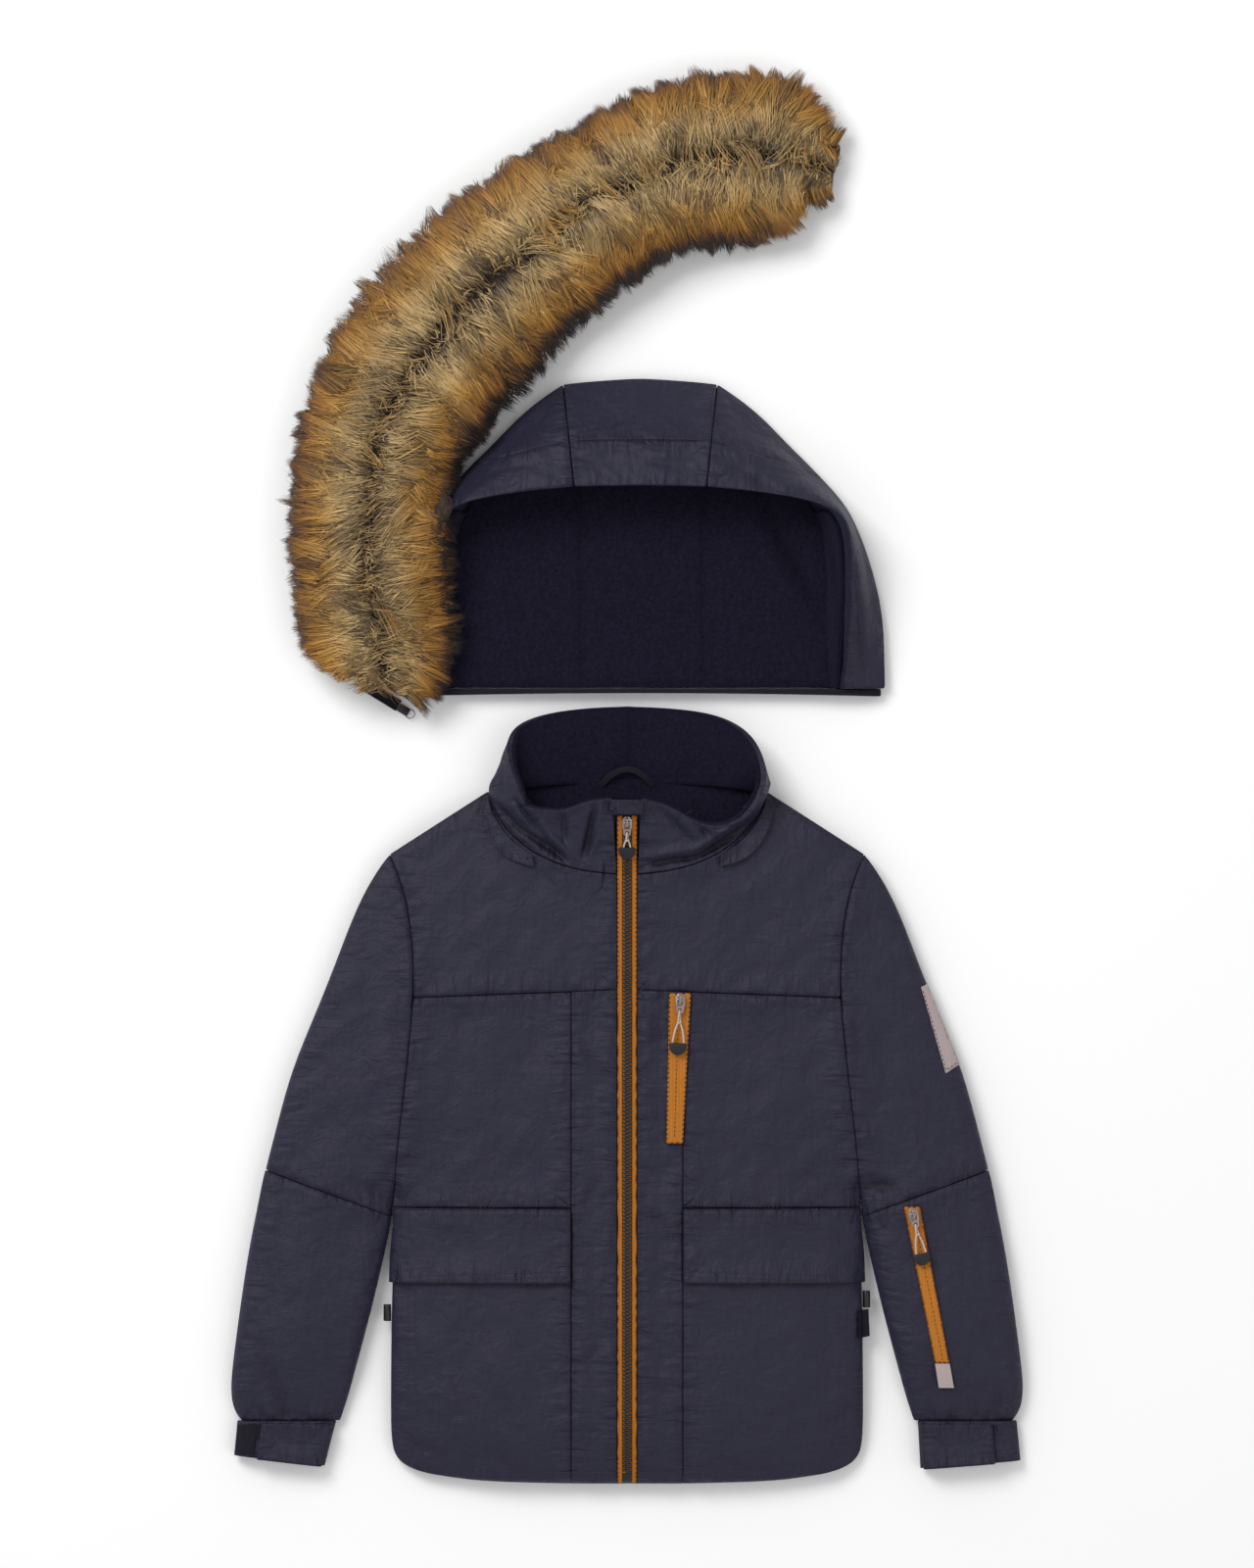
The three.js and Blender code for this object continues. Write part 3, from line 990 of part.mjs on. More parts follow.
const MAIN_PIVOT = 513.5;
const lean = Math.atan(collarSlope);
addPull('main_pull', 'zip_slider', {
  at: jacket({ x: 0, up: MAIN_PIVOT }, zipTop(MAIN_PIVOT) + 3.9),
  towards: { x: 0, y: -1 }, tilt: lean, knot: -14.5, grip: -20, end: -29.5, spreadOut: 2.6 });
const chestX = 41.2;
addPull('chest_pull', 'chest_zip_slider', {
  at: jacket({ x: chestX, up: 376.5 }, frontTop({ x: chestX, up: 366 }) + 6.8),
  towards: { x: -0.05, y: -1 }, knot: -18, grip: -33.5, end: -43, spreadOut: 4.4 });
const sleevePivot = { x: 221.7, up: 210.5 };
addPull('sleeve_pull', 'sleeve_zip_slider', {
  at: jacket(sleevePivot, frontTop({ x: 224, up: 196 }) + 7.8),
  towards: { x: 0.192, y: -0.981 }, knot: -16.5, grip: -31, end: -40.5, spreadOut: 3.8 });

// ---------- zip of the fur trim ----------

const trimFrame = new THREE.Group();
trimFrame.position.set(TRIM_ZIP.from.x, TRIM_ZIP.from.y, 0);
trimFrame.rotation.z = trimTurn;
garment.add(trimFrame);
const trimLength = Math.hypot(TRIM_ZIP.to.x - TRIM_ZIP.from.x, TRIM_ZIP.to.y - TRIM_ZIP.from.y);
const TRIM_TAPE = { thick: 1.2 };
const trimBox = (w, d, h, x, y, z) => new THREE.BoxGeometry(w, d, h).translate(x, y, z + h / 2);
const [tapeLong, tapeWide] = [trimLength - 5.9, TRIM_ZIP.half + TRIM_ZIP.clear - GAP];
add('trim_tape', trimBox(tapeLong, tapeWide, TRIM_TAPE.thick, tapeLong / 2, tapeWide / 2 - TRIM_ZIP.half, 0),
  'binding', trimFrame);
add('trim_pin', trimBox(4, 4.4, 3, 9, -0.5, TRIM_TAPE.thick + GAP), 'metal', trimFrame);

const RING = { r: 3.6, wire: 0.45, pivotX: trimLength + 1.4, z: 3.6 };
const BAIL = { wide: 1, inner: 1, outer: 1.9, under: 0.95, over: 1.8 };
const ringFrame = new THREE.Group();
ringFrame.position.set(RING.pivotX, 0, RING.z);
ringFrame.rotation.z = Math.PI / 2;
trimFrame.add(ringFrame);
const trimBase = plate([[-3.2, -2.3], [3.2, -2.3], [3.2, 7], [-3.2, 7]], 1.5).translate(0, 0, -1.65);
add('trim_slider', meshOf(solid(trimBase).add(solid(archGeometry(BAIL, -1.2)))), 'metal', ringFrame);
add('trim_ring', new THREE.TorusGeometry(RING.r, RING.wire, 5, 18).translate(0, -RING.r, 0),
  'metal', ringFrame);

export default garment;
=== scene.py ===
"""The padded jacket of a child's snowsuit laid flat, with its hood taken off above it and the fur trim
half unzipped from the hood. Sizes are in millimetres where a name ends in _MM, otherwise in metres."""
import json
import math

import bpy
import numpy as np
from mathutils import Matrix, Vector
from mathutils.bvhtree import BVHTree
from mathutils.kdtree import KDTree

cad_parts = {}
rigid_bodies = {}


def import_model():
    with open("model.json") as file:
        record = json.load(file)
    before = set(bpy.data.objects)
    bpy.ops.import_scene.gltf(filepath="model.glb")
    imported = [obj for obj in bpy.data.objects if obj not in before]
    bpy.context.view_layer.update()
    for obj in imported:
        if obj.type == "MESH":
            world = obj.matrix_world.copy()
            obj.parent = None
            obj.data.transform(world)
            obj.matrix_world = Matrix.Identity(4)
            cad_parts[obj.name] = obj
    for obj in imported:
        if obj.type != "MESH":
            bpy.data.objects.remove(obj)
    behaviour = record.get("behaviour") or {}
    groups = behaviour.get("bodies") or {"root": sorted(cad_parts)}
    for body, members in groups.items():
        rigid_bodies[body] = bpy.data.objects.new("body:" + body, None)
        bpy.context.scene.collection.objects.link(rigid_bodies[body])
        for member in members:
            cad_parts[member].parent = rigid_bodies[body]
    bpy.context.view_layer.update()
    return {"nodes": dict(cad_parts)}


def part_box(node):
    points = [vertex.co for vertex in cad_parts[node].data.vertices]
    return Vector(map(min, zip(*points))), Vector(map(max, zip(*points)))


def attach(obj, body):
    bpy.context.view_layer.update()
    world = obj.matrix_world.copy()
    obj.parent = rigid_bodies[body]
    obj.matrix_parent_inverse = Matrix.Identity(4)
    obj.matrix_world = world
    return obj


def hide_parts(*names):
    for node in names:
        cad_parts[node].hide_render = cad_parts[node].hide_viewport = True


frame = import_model()

# ---------- the studio ----------
# The garment lies on a white table and is seen from straight above with a long lens. A broad soft
# light stands above its upper left, so the shadow falls softly to the lower right.
CAMERA_HEIGHT = 6.0
VIEW_HEIGHT = 1.216
VIEW_CENTRE = (0.0, -0.00266)
GARMENT_MIDDLE = 0.02
SENSOR = 36.0

bpy.ops.object.camera_add(location=(*VIEW_CENTRE, CAMERA_HEIGHT), rotation=(0, 0, 0))
camera = bpy.context.object
camera.name = "studio_camera"
camera.data.sensor_fit = "VERTICAL"
camera.data.sensor_height = SENSOR
camera.data.lens = SENSOR * (CAMERA_HEIGHT - GARMENT_MIDDLE) / VIEW_HEIGHT
camera.data.clip_end = 40
bpy.context.scene.camera = camera

# Softboxes: where each stands, how wide it is and its power in watts.
SOFTBOXES = {
    "key_softbox": ((-1.5, 1.7, 2.6), 1.6, 68.0),
    "fill_softbox": ((1.9, -1.2, 3.0), 2.6, 14.0),
}
for name, (place, width, power) in SOFTBOXES.items():
    bpy.ops.object.light_add(type="AREA", location=place)
    softbox = bpy.context.object
    softbox.name = name
    softbox.data.shape = "SQUARE"
    softbox.data.size = width
    softbox.data.energy = power
    softbox.rotation_euler = (-Vector(place)).to_track_quat("-Z", "Y").to_euler()


def linear(colour):
    """A colour written as sRGB hex, turned to the linear values that a socket holds."""
    parts = [int(colour[i:i + 2], 16) / 255 for i in (1, 3, 5)]
    return tuple(p / 12.92 if p <= 0.04045 else ((p + 0.055) / 1.055) ** 2.4 for p in parts) + (1.0,)


def add_node(material, kind, settings=(), values=(), links=()):
    """One node of a material: its settings, the values of its own sockets and what feeds it."""
    made = material.node_tree.nodes.new("ShaderNode" + kind)
    for name, value in dict(settings).items():
        setattr(made, name, value)
    for name, value in dict(values).items():
        made.inputs[name].default_value = value
    for name, source in dict(links).items():
        material.node_tree.links.new(source, made.inputs[name])
    return made


def start_finish(name, **values):
    """A material with its one shader, whose own sockets take the values."""
    material = bpy.data.materials.new(name)
    material.use_nodes = True
    shader = material.node_tree.nodes["Principled BSDF"]
    for socket, value in values.items():
        shader.inputs[socket.replace("_", " ")].default_value = value
    return material, shader


def feed(material, source, shader, socket):
    material.node_tree.links.new(source, shader.inputs[socket])


def object_place(material):
    return add_node(material, "TexCoord").outputs["Object"]


def tone_ramp(material, source, dark, light, start=0.0, end=1.0):
    """A ramp between two tones, with where along the source each one stands."""
    ramp = add_node(material, "ValToRGB", links={"Fac": source})
    for element, place, tone in zip(ramp.color_ramp.elements, (start, end), (dark, light)):
        element.position = place
        element.color = linear(tone)
    return ramp.outputs["Color"]


def shade_by(material, attribute, shade, tone):
    """The tone, multiplied by the shade as far as the attribute says."""
    held = add_node(material, "Attribute", settings={"attribute_name": attribute})
    mix = add_node(material, "MixRGB", settings={"blend_type": "MULTIPLY"},
                   values={"Color2": linear(shade)}, links={"Fac": held.outputs["Fac"], "Color1": tone})
    return mix.outputs["Color"]


def feed_bump(material, shader, height, strength, distance):
    bump = add_node(material, "Bump", values={"Strength": strength, "Distance": distance},
                    links={"Height": height})
    feed(material, bump.outputs["Normal"], shader, "Normal")


def feed_roughness(material, shader, grain, smoothest, roughest):
    spread = add_node(material, "MapRange", values={"To Min": smoothest, "To Max": roughest},
                      links={"Value": grain})
    feed(material, spread.outputs["Result"], shader, "Roughness")


def new_object(name, data):
    made = bpy.data.objects.new(name, data)
    bpy.context.scene.collection.objects.link(made)
    return made


WORLD_LIGHT = 0.62
world = bpy.data.worlds.new("white_studio")
world.use_nodes = True
world.node_tree.nodes["Background"].inputs["Color"].default_value = (1, 1, 1, 1)
world.node_tree.nodes["Background"].inputs["Strength"].default_value = WORLD_LIGHT
bpy.context.scene.world = world
bpy.context.scene.view_settings.view_transform = "Standard"

# The table top is matt white laminate, with a trace of unevenness in how it scatters light.
bpy.ops.mesh.primitive_plane_add(size=9, location=(0, 0, 0))
table_top = bpy.context.object
table_top.name = "white_table"
laminate, laminate_shader = start_finish("matt_white_laminate", Roughness=0.75)
laminate_shader.inputs["Base Color"].default_value = linear("#fbfbfb")
table_grain = add_node(laminate, "TexNoise", values={"Scale": 420.0, "Detail": 2.0},
                       links={"Vector": object_place(laminate)})
feed_bump(laminate, laminate_shader, table_grain.outputs["Fac"], 0.03, 0.0002)
table_top.data.materials.append(laminate)

# ---------- pull cords ----------
# Each zip pull has a thin braided polyester cord: from the grip up one leg, through the knot and the
# eye of the metal tab, and down the other leg to the grip. Both ends are moulded into the grip.
CORD_THICK = 0.0014
# Where each pull hinges, how it leans and turns there, its knot, grip and spread in its own frame,
# and its cord's length from end to end.
PULLS = {
    "main_pull": {"at": (0.0, -0.0326, 0.043357), "lean": 0.2837, "turn": 0.0,
                  "knot": -0.0145, "grip": -0.0200, "spread": 0.0026,
                  "length": 0.027},
    "chest_pull": {"at": (0.0412, -0.1696, 0.036317), "lean": 0.0, "turn": -0.04996,
                   "knot": -0.0180, "grip": -0.0335, "spread": 0.0044,
                   "length": 0.0525},
    "sleeve_pull": {"at": (0.2217, -0.3356, 0.033068), "lean": 0.0, "turn": 0.19328,
                    "knot": -0.0165, "grip": -0.0310, "spread": 0.0038,
                    "length": 0.0475},
}
TAB_END = -0.0104
TAB_EYE = -0.0081
KNOT_RADIUS = 0.00145
KNOT_THICK = 0.00144

# Braided polyester: dull, pale pinkish beige, the braid's strands 0.6 mm wide and slanting.
braided_cord, cord_shader = start_finish("braided_beige_polyester_cord", Roughness=0.85)
cord_place = object_place(braided_cord)
braid = add_node(braided_cord, "TexWave", settings={"bands_direction": "DIAGONAL"},
                 values={"Scale": 0.314 / 0.0006, "Distortion": 1.0}, links={"Vector": cord_place})
braid_tone = tone_ramp(braided_cord, braid.outputs["Fac"], "#9c8a82", "#dccbc0")
feed(braided_cord, braid_tone, cord_shader, "Base Color")
feed_bump(braided_cord, cord_shader, braid.outputs["Fac"], 0.6, 0.0002)

for pull, facts in PULLS.items():
    facts["frame"] = (Matrix.Translation(facts["at"]) @ Matrix.Rotation(facts["turn"], 4, "Z")
                      @ Matrix.Rotation(facts["lean"], 4, "X"))
    knot, grip, spread = facts["knot"], facts["grip"], facts["spread"]
    beside = CORD_THICK * 0.56
    leg = [(-spread, grip + 0.0003, 0.0), (-spread * 0.75, grip + 0.62 * (knot - grip), 0.0),
           (-beside, knot, 0.0002), (-beside * 0.8, (knot + TAB_END) / 2, 0.0009),
           (-beside * 0.4, TAB_END + 0.0001, 0.0014), (-beside * 0.2, TAB_EYE - 0.0006, 0.0012)]
    other = [(-x, y, -z) for x, y, z in reversed(leg)]
    route = leg + [(0.0, TAB_EYE, 0.0)] + other
    line = bpy.data.curves.new(pull + "_braided_cord", "CURVE")
    line.dimensions = "3D"
    line.bevel_depth = CORD_THICK / 2
    line.bevel_resolution = 3
    line.use_fill_caps = True
    spline = line.splines.new("NURBS")
    spline.points.add(len(route) - 1)
    for point, place in zip(spline.points, route):
        point.co = (*(facts["frame"] @ Vector(place)), 1.0)
    spline.order_u = 3
    spline.use_endpoint_u = True
    spline.resolution_u = 6
    line.materials.append(braided_cord)
    cord = new_object(pull + "_braided_cord", line)
    bpy.ops.object.select_all(action="DESELECT")
    bpy.ops.mesh.primitive_torus_add(major_segments=16, minor_segments=8, location=(0, 0, 0),
                                     major_radius=KNOT_RADIUS, minor_radius=KNOT_THICK / 2)
    knot_turn = bpy.context.object
    knot_turn.name = pull + "_knot"
    knot_turn.data.transform(facts["frame"] @ Matrix.Translation((0, knot, 0))
                             @ Matrix.Rotation(math.radians(78), 4, "X")
                             @ Matrix.Rotation(math.radians(14), 4, "Y"))
    knot_turn.data.materials.append(braided_cord)
    bpy.ops.object.shade_smooth()
    for piece in (cord, knot_turn):
        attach(piece, pull)
    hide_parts(pull + "_cord")

# ---------- padded shell of the jacket ----------
# Fifteen panels of navy nylon taslan over wadding, sewn edge to edge: each is a closed padded form
# whose rims meet its neighbours' along the seams.
HEM_Y_MM = -546.1
# Rays are cast straight down from this height, which is above everything.
ABOVE = 0.2
DOWN = Vector((0, 0, -1))


def garment_point(x_mm, up_mm):
    """A point of the laid jacket, from the middle line and from the hem, in metres."""
    return (x_mm / 1000, (HEM_Y_MM + up_mm) / 1000)


def select_only(piece):
    bpy.ops.object.select_all(action="DESELECT")
    piece.select_set(True)
    bpy.context.view_layer.objects.active = piece


def copy_of(node, name):
    """A free copy of a solid of the frame, with its loose triangles merged and turned to quads."""
    piece = new_object(name, frame["nodes"][node].data.copy())
    piece.data.materials.clear()
    select_only(piece)
    bpy.context.tool_settings.mesh_select_mode = (False, True, False)
    bpy.ops.object.mode_set(mode="EDIT")
    bpy.ops.mesh.select_all(action="SELECT")
    bpy.ops.mesh.remove_doubles(threshold=0.00003)
    bpy.ops.mesh.tris_convert_to_quads(face_threshold=1.0, shape_threshold=1.2)
    bpy.ops.mesh.select_all(action="DESELECT")
    bpy.ops.object.mode_set(mode="OBJECT")
    return piece


def crease_rims(piece, crease, sharp=0.8):
    """Creases the edges whose faces turn by more than sharp. Gives points along them, each with how
    upright the edge runs on the table there, 0 to 1."""
    mesh = piece.data
    normals = np.array([f.normal for f in mesh.polygons])
    faces_of = {}
    for face in mesh.polygons:
        for key in face.edge_keys:
            faces_of.setdefault(key, []).append(face.index)
    creases = mesh.attributes.new("crease_edge", "FLOAT", "EDGE")
    rim = []
    for edge in mesh.edges:
        sides = faces_of.get(edge.key, [])
        if len(sides) == 2 and normals[sides[0]] @ normals[sides[1]] < math.cos(sharp):
            creases.data[edge.index].value = crease
            start, end = (mesh.vertices[i].co for i in edge.vertices)
            steps = max(1, int((end - start).length / 0.003))
            upright = abs(end.y - start.y) / max((end - start).to_2d().length, 1e-6)
            rim += [(start.lerp(end, i / steps), upright) for i in range(steps + 1)]
    return rim


def sew_groove(piece, start_mm, end_mm, deep_mm, half_mm=1.6):
    """Sews a straight line down into the top of a piece: three cuts, the middle one drawn in."""
    start, end = Vector((*start_mm, 0)) / 1000, Vector((*end_mm, 0)) / 1000
    run = (end - start).normalized()
    crosswise = Vector((-run.y, run.x, 0))
    select_only(piece)
    bpy.ops.object.mode_set(mode="EDIT")
    for away in (-half_mm, 0, half_mm):
        bpy.ops.mesh.select_all(action="SELECT")
        bpy.ops.mesh.bisect(plane_co=start + crosswise * away / 1000, plane_no=crosswise)
    bpy.ops.mesh.select_all(action="DESELECT")
    bpy.ops.object.mode_set(mode="OBJECT")
    length = (end - start).length
    for vertex in piece.data.vertices:
        offset = (vertex.co - start).to_2d()
        along, away = offset @ run.to_2d(), offset @ crosswise.to_2d()
        if abs(away) < 1e-5 and 0 < along < length and vertex.normal.z > 0.3:
            fade = min(1.0, along / 0.004, (length - along) / 0.004)
            vertex.co.z -= deep_mm / 1000 * fade
    piece.data.update()


def subdivide(piece, levels):
    select_only(piece)
    smoothing = piece.modifiers.new("smoothing", "SUBSURF")
    smoothing.levels = levels
    smoothing.render_levels = levels
    bpy.ops.object.modifier_apply(modifier="smoothing")
    bpy.ops.object.shade_smooth()


def ripple(points, length, seed):
    """Smooth random waves over the garment, about -1 to 1, with a typical spacing of length."""
    chance = np.random.default_rng(seed)
    turn = chance.uniform(0, 2 * math.pi, 10)
    rate = 2 * math.pi / length * chance.uniform(0.7, 1.35, 10)
    phase = chance.uniform(0, 2 * math.pi, 10)
    along = points[:, :1] * (rate * np.cos(turn)) + points[:, 1:2] * (rate * np.sin(turn))
    return np.sin(along + phase).sum(axis=1) / 4.5


def distance_to(points, rim):
    """How far each point is from the nearest point of the rim, and how upright the rim is there."""
    tree = KDTree(len(rim))
    for index, (place, _) in enumerate(rim):
        tree.insert(place, index)
    tree.balance()
    found = [tree.find(p) for p in points]
    return np.array([f[2] for f in found]), np.array([min(rim[f[1]][1], 1.0) for f in found])


def read_points(piece):
    points = np.empty(len(piece.data.vertices) * 3)
    piece.data.vertices.foreach_get("co", points)
    return points.reshape(-1, 3)


def read_normals(piece):
    normals = np.empty(len(piece.data.vertices) * 3)
    piece.data.vertices.foreach_get("normal", normals)
    return normals.reshape(-1, 3)


# Folds pressed into the cloth: both ends on the table, half width and depth in mm. Each valley has
# a soft shoulder on its left side, seen from its start, and a negative depth is a ridge. They run
# at the neck, on the hood, under the arms, where the sleeves bend, beside the zip and the hem, and
# over the cuffs.
FOLDS_MM = [
    (-102, -16, -80, -40, 3, 3.4), (-84, -36, -46, -62, 3.2, 3.6), (-88, -12, -68, -40, 2.6, 3.0),
    (-72, -34, -50, -60, 2.6, 2.8), (-24, -18, -35, -63, 2.4, 3.2), (-23, -34, -31, -56, 2.2, 2.0),
    (-14, -16, -8, -30, 2, 2.0), (14, -65, 58, -58, 3, 3.6), (54, -59, 84, -43, 3, 4.0),
    (82, -44, 105, -16, 3, 3.4), (62, -52, 98, -29, 2.4, 2.8), (24, -22, 52, -48, 3, 1.8),
    (48, -24, 66, -46, 2.4, 1.8), (-50, -20, -48, -50, 2.6, 1.6),
    (84, 206, 128, 127, 4, 0.7), (93, 210, 136, 130, 5, -4.0), (158, 190, 163, 140, 3, 2.2),
    (163, 142, 168, 82, 3, 2.4), (172, 186, 180, 120, 3, 1.4), (178, 130, 184, 84, 3, 1.4),
    (-100, 247, -70, 240, 3, 1.2), (-45, 252, -20, 243, 3, 1.1), (10, 250, 40, 240, 3, 1.2),
    (52, 246, 75, 232, 3, 1.2), (80, 243, 110, 226, 3.5, 1.4), (-10, 258, 12, 252, 3, 0.9),
    (-215, -310, -172, -328, 4, 1.2), (-205, -322, -178, -300, 4, 0.9), (172, -318, 214, -312, 4, 1.5),
    (180, -300, 205, -322, 4, 1.2), (196, -306, 212, -325, 3, 1.0), (228, -318, 262, -305, 4, 0.9),
    (-182, -170, -176, -230, 4, 1.0), (180, -165, 176, -235, 4, 0.9), (-168, -188, -150, -172, 5, 0.8),
    (-270, -480, -262, -507, 3, 1.0), (-250, -484, -248, -508, 3, 1.1), (-232, -486, -234, -507, 3, 0.9),
    (-292, -478, -276, -505, 3, 1.0), (-284, -440, -262, -500, 6, 1.4), (236, -484, 238, -507, 3, 1.0),
    (254, -486, 252, -508, 3, 1.1), (272, -480, 268, -506, 3, 1.0), (292, -470, 282, -505, 3.5, 1.2),
    (246, -440, 236, -480, 6, 1.0), (-20, -230, -38, -200, 3.5, 0.8), (14, -205, 36, -196, 3.5, 0.8),
    (-15, -300, -36, -330, 4, 0.9), (12, -330, 34, -352, 4, 0.9), (-14, -430, -34, -452, 4, 0.8),
    (12, -460, 34, -478, 4, 0.9), (-180, -505, -140, -525, 4, 1.0), (-110, -515, -80, -538, 4, 0.8),
    (150, -500, 182, -480, 4, 1.0), (70, -520, 96, -538, 4, 0.8)]


def fold_depth(points):
    """How deep the folds are under each point."""
    depth = np.zeros(len(points))
    for x1, y1, x2, y2, half_width, deep in FOLDS_MM:
        start, run = np.array([x1, y1]) / 1000, np.array([x2 - x1, y2 - y1]) / 1000
        share = np.clip((points[:, :2] - start) @ run / (run @ run), 0, 1)
        away = np.linalg.norm(points[:, :2] - start - share[:, None] * run, axis=1)
        beyond = (points[:, :2] - start) @ np.array([-run[1], run[0]]) / np.linalg.norm(run)
        ends = np.sin(math.pi * np.clip(share, 0.02, 0.98)) ** 0.6
        half = half_width / 1000
        valley = np.exp(-(away / half) ** 2)
        shoulder = np.exp(-((beyond - 2.1 * half) / (1.2 * half)) ** 2) * (away < 5 * half)
        depth += deep / 1000 * ends * (1.4 * valley - 0.7 * shoulder)
    return depth


SEAM_DRAW = 0.00017


def settle(piece, rim, swell=0.001, pucker=0.0006, reach=0.009, spacing=0.014, thin=False):
    """Gives the laid cloth its soft swells, its folds and the small puckers beside each seam."""
    points, normals = read_points(piece), read_normals(piece)
    upward = np.clip(normals[:, 2], 0, 1) ** 0.7
    to_seam, upright = distance_to(points, rim)
    beside = np.exp(-((to_seam - 0.003) / reach) ** 2)
    inside = np.clip(to_seam / 0.007, 0, 1)
    move = swell * inside * ripple(points, 0.055, 4)
    move += swell * 0.4 * inside * ripple(points, 0.022, 8)
    move += pucker * beside * (ripple(points, spacing, 15) - 0.3)
    move += 0.0005 * np.exp(-(to_seam / 0.002) ** 2)
    points[:, 2] += move * upward
    # A fold bends a thin piece right through, and only the face of a thick one.
    folded = np.abs(normals[:, 2]) ** 0.7 if thin else upward
    folds = fold_depth(points) * np.clip(to_seam / 0.004, 0, 1)
    points[:, 2] -= folds * folded
    # Neighbouring rims are drawn together along the seam.
    points[:, :2] += SEAM_DRAW * normals[:, :2] * np.exp(-(to_seam / 0.005) ** 2)[:, None]
    piece.data.vertices.foreach_set("co", points.ravel())
    near = np.exp(-(to_seam / 0.014) ** 2)
    # Beside a seam the dye is deepened a little; in a fold the colour gets painted shade, as deep as the
    # fold presses in.
    seam_and_fold_darkening = np.maximum(0.35 * np.exp(-(to_seam / 0.0035) ** 2), np.clip(folds / 0.0036, 0, 1))
    for name, value in {"seam_dye_and_fold_shade": seam_and_fold_darkening,
                        "beside_upright_seam": near * upright ** 2,
                        "beside_level_seam": near * (1 - upright ** 2)}.items():
        piece.data.attributes.new(name, "FLOAT", "POINT").data.foreach_set("value", value)
    piece.data.update()


def padded_piece(node, levels, finish, slot, crease=0.96, fill=0.4, grooves=(), **shape):
    """Dresses one padded solid of the frame: copy, sewn lines, rims, smoothing, wrinkles and finish."""
    piece = copy_of(node, node + "_cloth")
    for groove in grooves:
        sew_groove(piece, *groove)
    rim = crease_rims(piece, crease)
    subdivide(piece, levels)
    settle(piece, rim, **shape)
    piece.data.materials.append(finish)
    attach(piece, "jacket")
    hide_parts(node)
    return piece


# The shell cloth is navy nylon taslan: a dull woven face with a fine crossing thread, slight slubs
# along the weft and the warp, and a faint sheen where it turns away. Its threads are drawn 0.9 mm
# apart, wider than such a cloth's, which would be too fine to show.
THREAD_MM = 0.9
navy_taslan, taslan_shader = start_finish(
    "woven_navy_nylon_taslan", Roughness=0.6, Specular_IOR_Level=0.3, Sheen_Weight=0.06,
    Sheen_Roughness=0.5)
taslan_shader.inputs["Sheen Tint"].default_value = linear("#9a9ad0")
cloth_place = object_place(navy_taslan)
threads = [add_node(navy_taslan, "TexWave", settings={"bands_direction": run},
                    values={"Scale": 314 / THREAD_MM, "Distortion": 1.2, "Detail": 1.0, "Detail Scale": 3.0},
                    links={"Vector": cloth_place}) for run in ("X", "Y")]
weave = add_node(navy_taslan, "Math", settings={"operation": "ADD"},
                 links={0: threads[0].outputs["Fac"], 1: threads[1].outputs["Fac"]})
# Slubs: threads of uneven thickness, 12 to 17 mm long and about 1 mm wide, along the weft and the warp.
slubs = []
for stretch in ((80.0, 900.0, 80.0), (700.0, 60.0, 60.0)):
    slub_place = add_node(navy_taslan, "Mapping", values={"Scale": stretch}, links={"Vector": cloth_place})
    slubs.append(add_node(navy_taslan, "TexNoise", values={"Scale": 1.0, "Detail": 2.0, "Roughness": 0.6},
                          links={"Vector": slub_place.outputs["Vector"]}))
crossing = add_node(navy_taslan, "Math", settings={"operation": "ADD"},
                    links={0: slubs[0].outputs["Fac"], 1: slubs[1].outputs["Fac"]})
half_crossing = add_node(navy_taslan, "Math", settings={"operation": "MULTIPLY"}, values={1: 0.5},
                         links={0: crossing.outputs["Value"]})
thread_tone = tone_ramp(navy_taslan, half_crossing.outputs["Value"], "#1b192a", "#242237", 0.3, 0.7)
# Right at a seam the nap lies over and the dye looks deeper; along each fold the colour is darkened as
# painted shade in the crease.
seam_dye_and_fold_shade_tone = shade_by(navy_taslan, "seam_dye_and_fold_shade", "#a4a4b2", thread_tone)
feed(navy_taslan, seam_dye_and_fold_shade_tone, taslan_shader, "Base Color")
# Puckers: where the sewing draws the cloth up, small wrinkles about 12 mm apart run across the seam.
puckers = []
for beside, stretch in (("beside_upright_seam", (20.0, 85.0, 30.0)),
                        ("beside_level_seam", (85.0, 20.0, 30.0))):
    near_seam = add_node(navy_taslan, "Attribute", settings={"attribute_name": beside})
    pucker_place = add_node(navy_taslan, "Mapping", values={"Scale": stretch, "Rotation": (0, 0, 0.12)},
                            links={"Vector": cloth_place})
    wrinkle = add_node(navy_taslan, "TexNoise", values={"Scale": 1.0, "Detail": 2.0, "Distortion": 0.8},
                       links={"Vector": pucker_place.outputs["Vector"]})
    puckers.append(add_node(navy_taslan, "Math", settings={"operation": "MULTIPLY"},
                            links={0: near_seam.outputs["Fac"], 1: wrinkle.outputs["Fac"]}))
puckering = add_node(navy_taslan, "Math", settings={"operation": "ADD"},
                     links={0: puckers[0].outputs["Value"], 1: puckers[1].outputs["Value"]})
pucker_bump = add_node(navy_taslan, "Bump", values={"Strength": 1.0, "Distance": 0.0062},
                       links={"Height": puckering.outputs["Value"]})
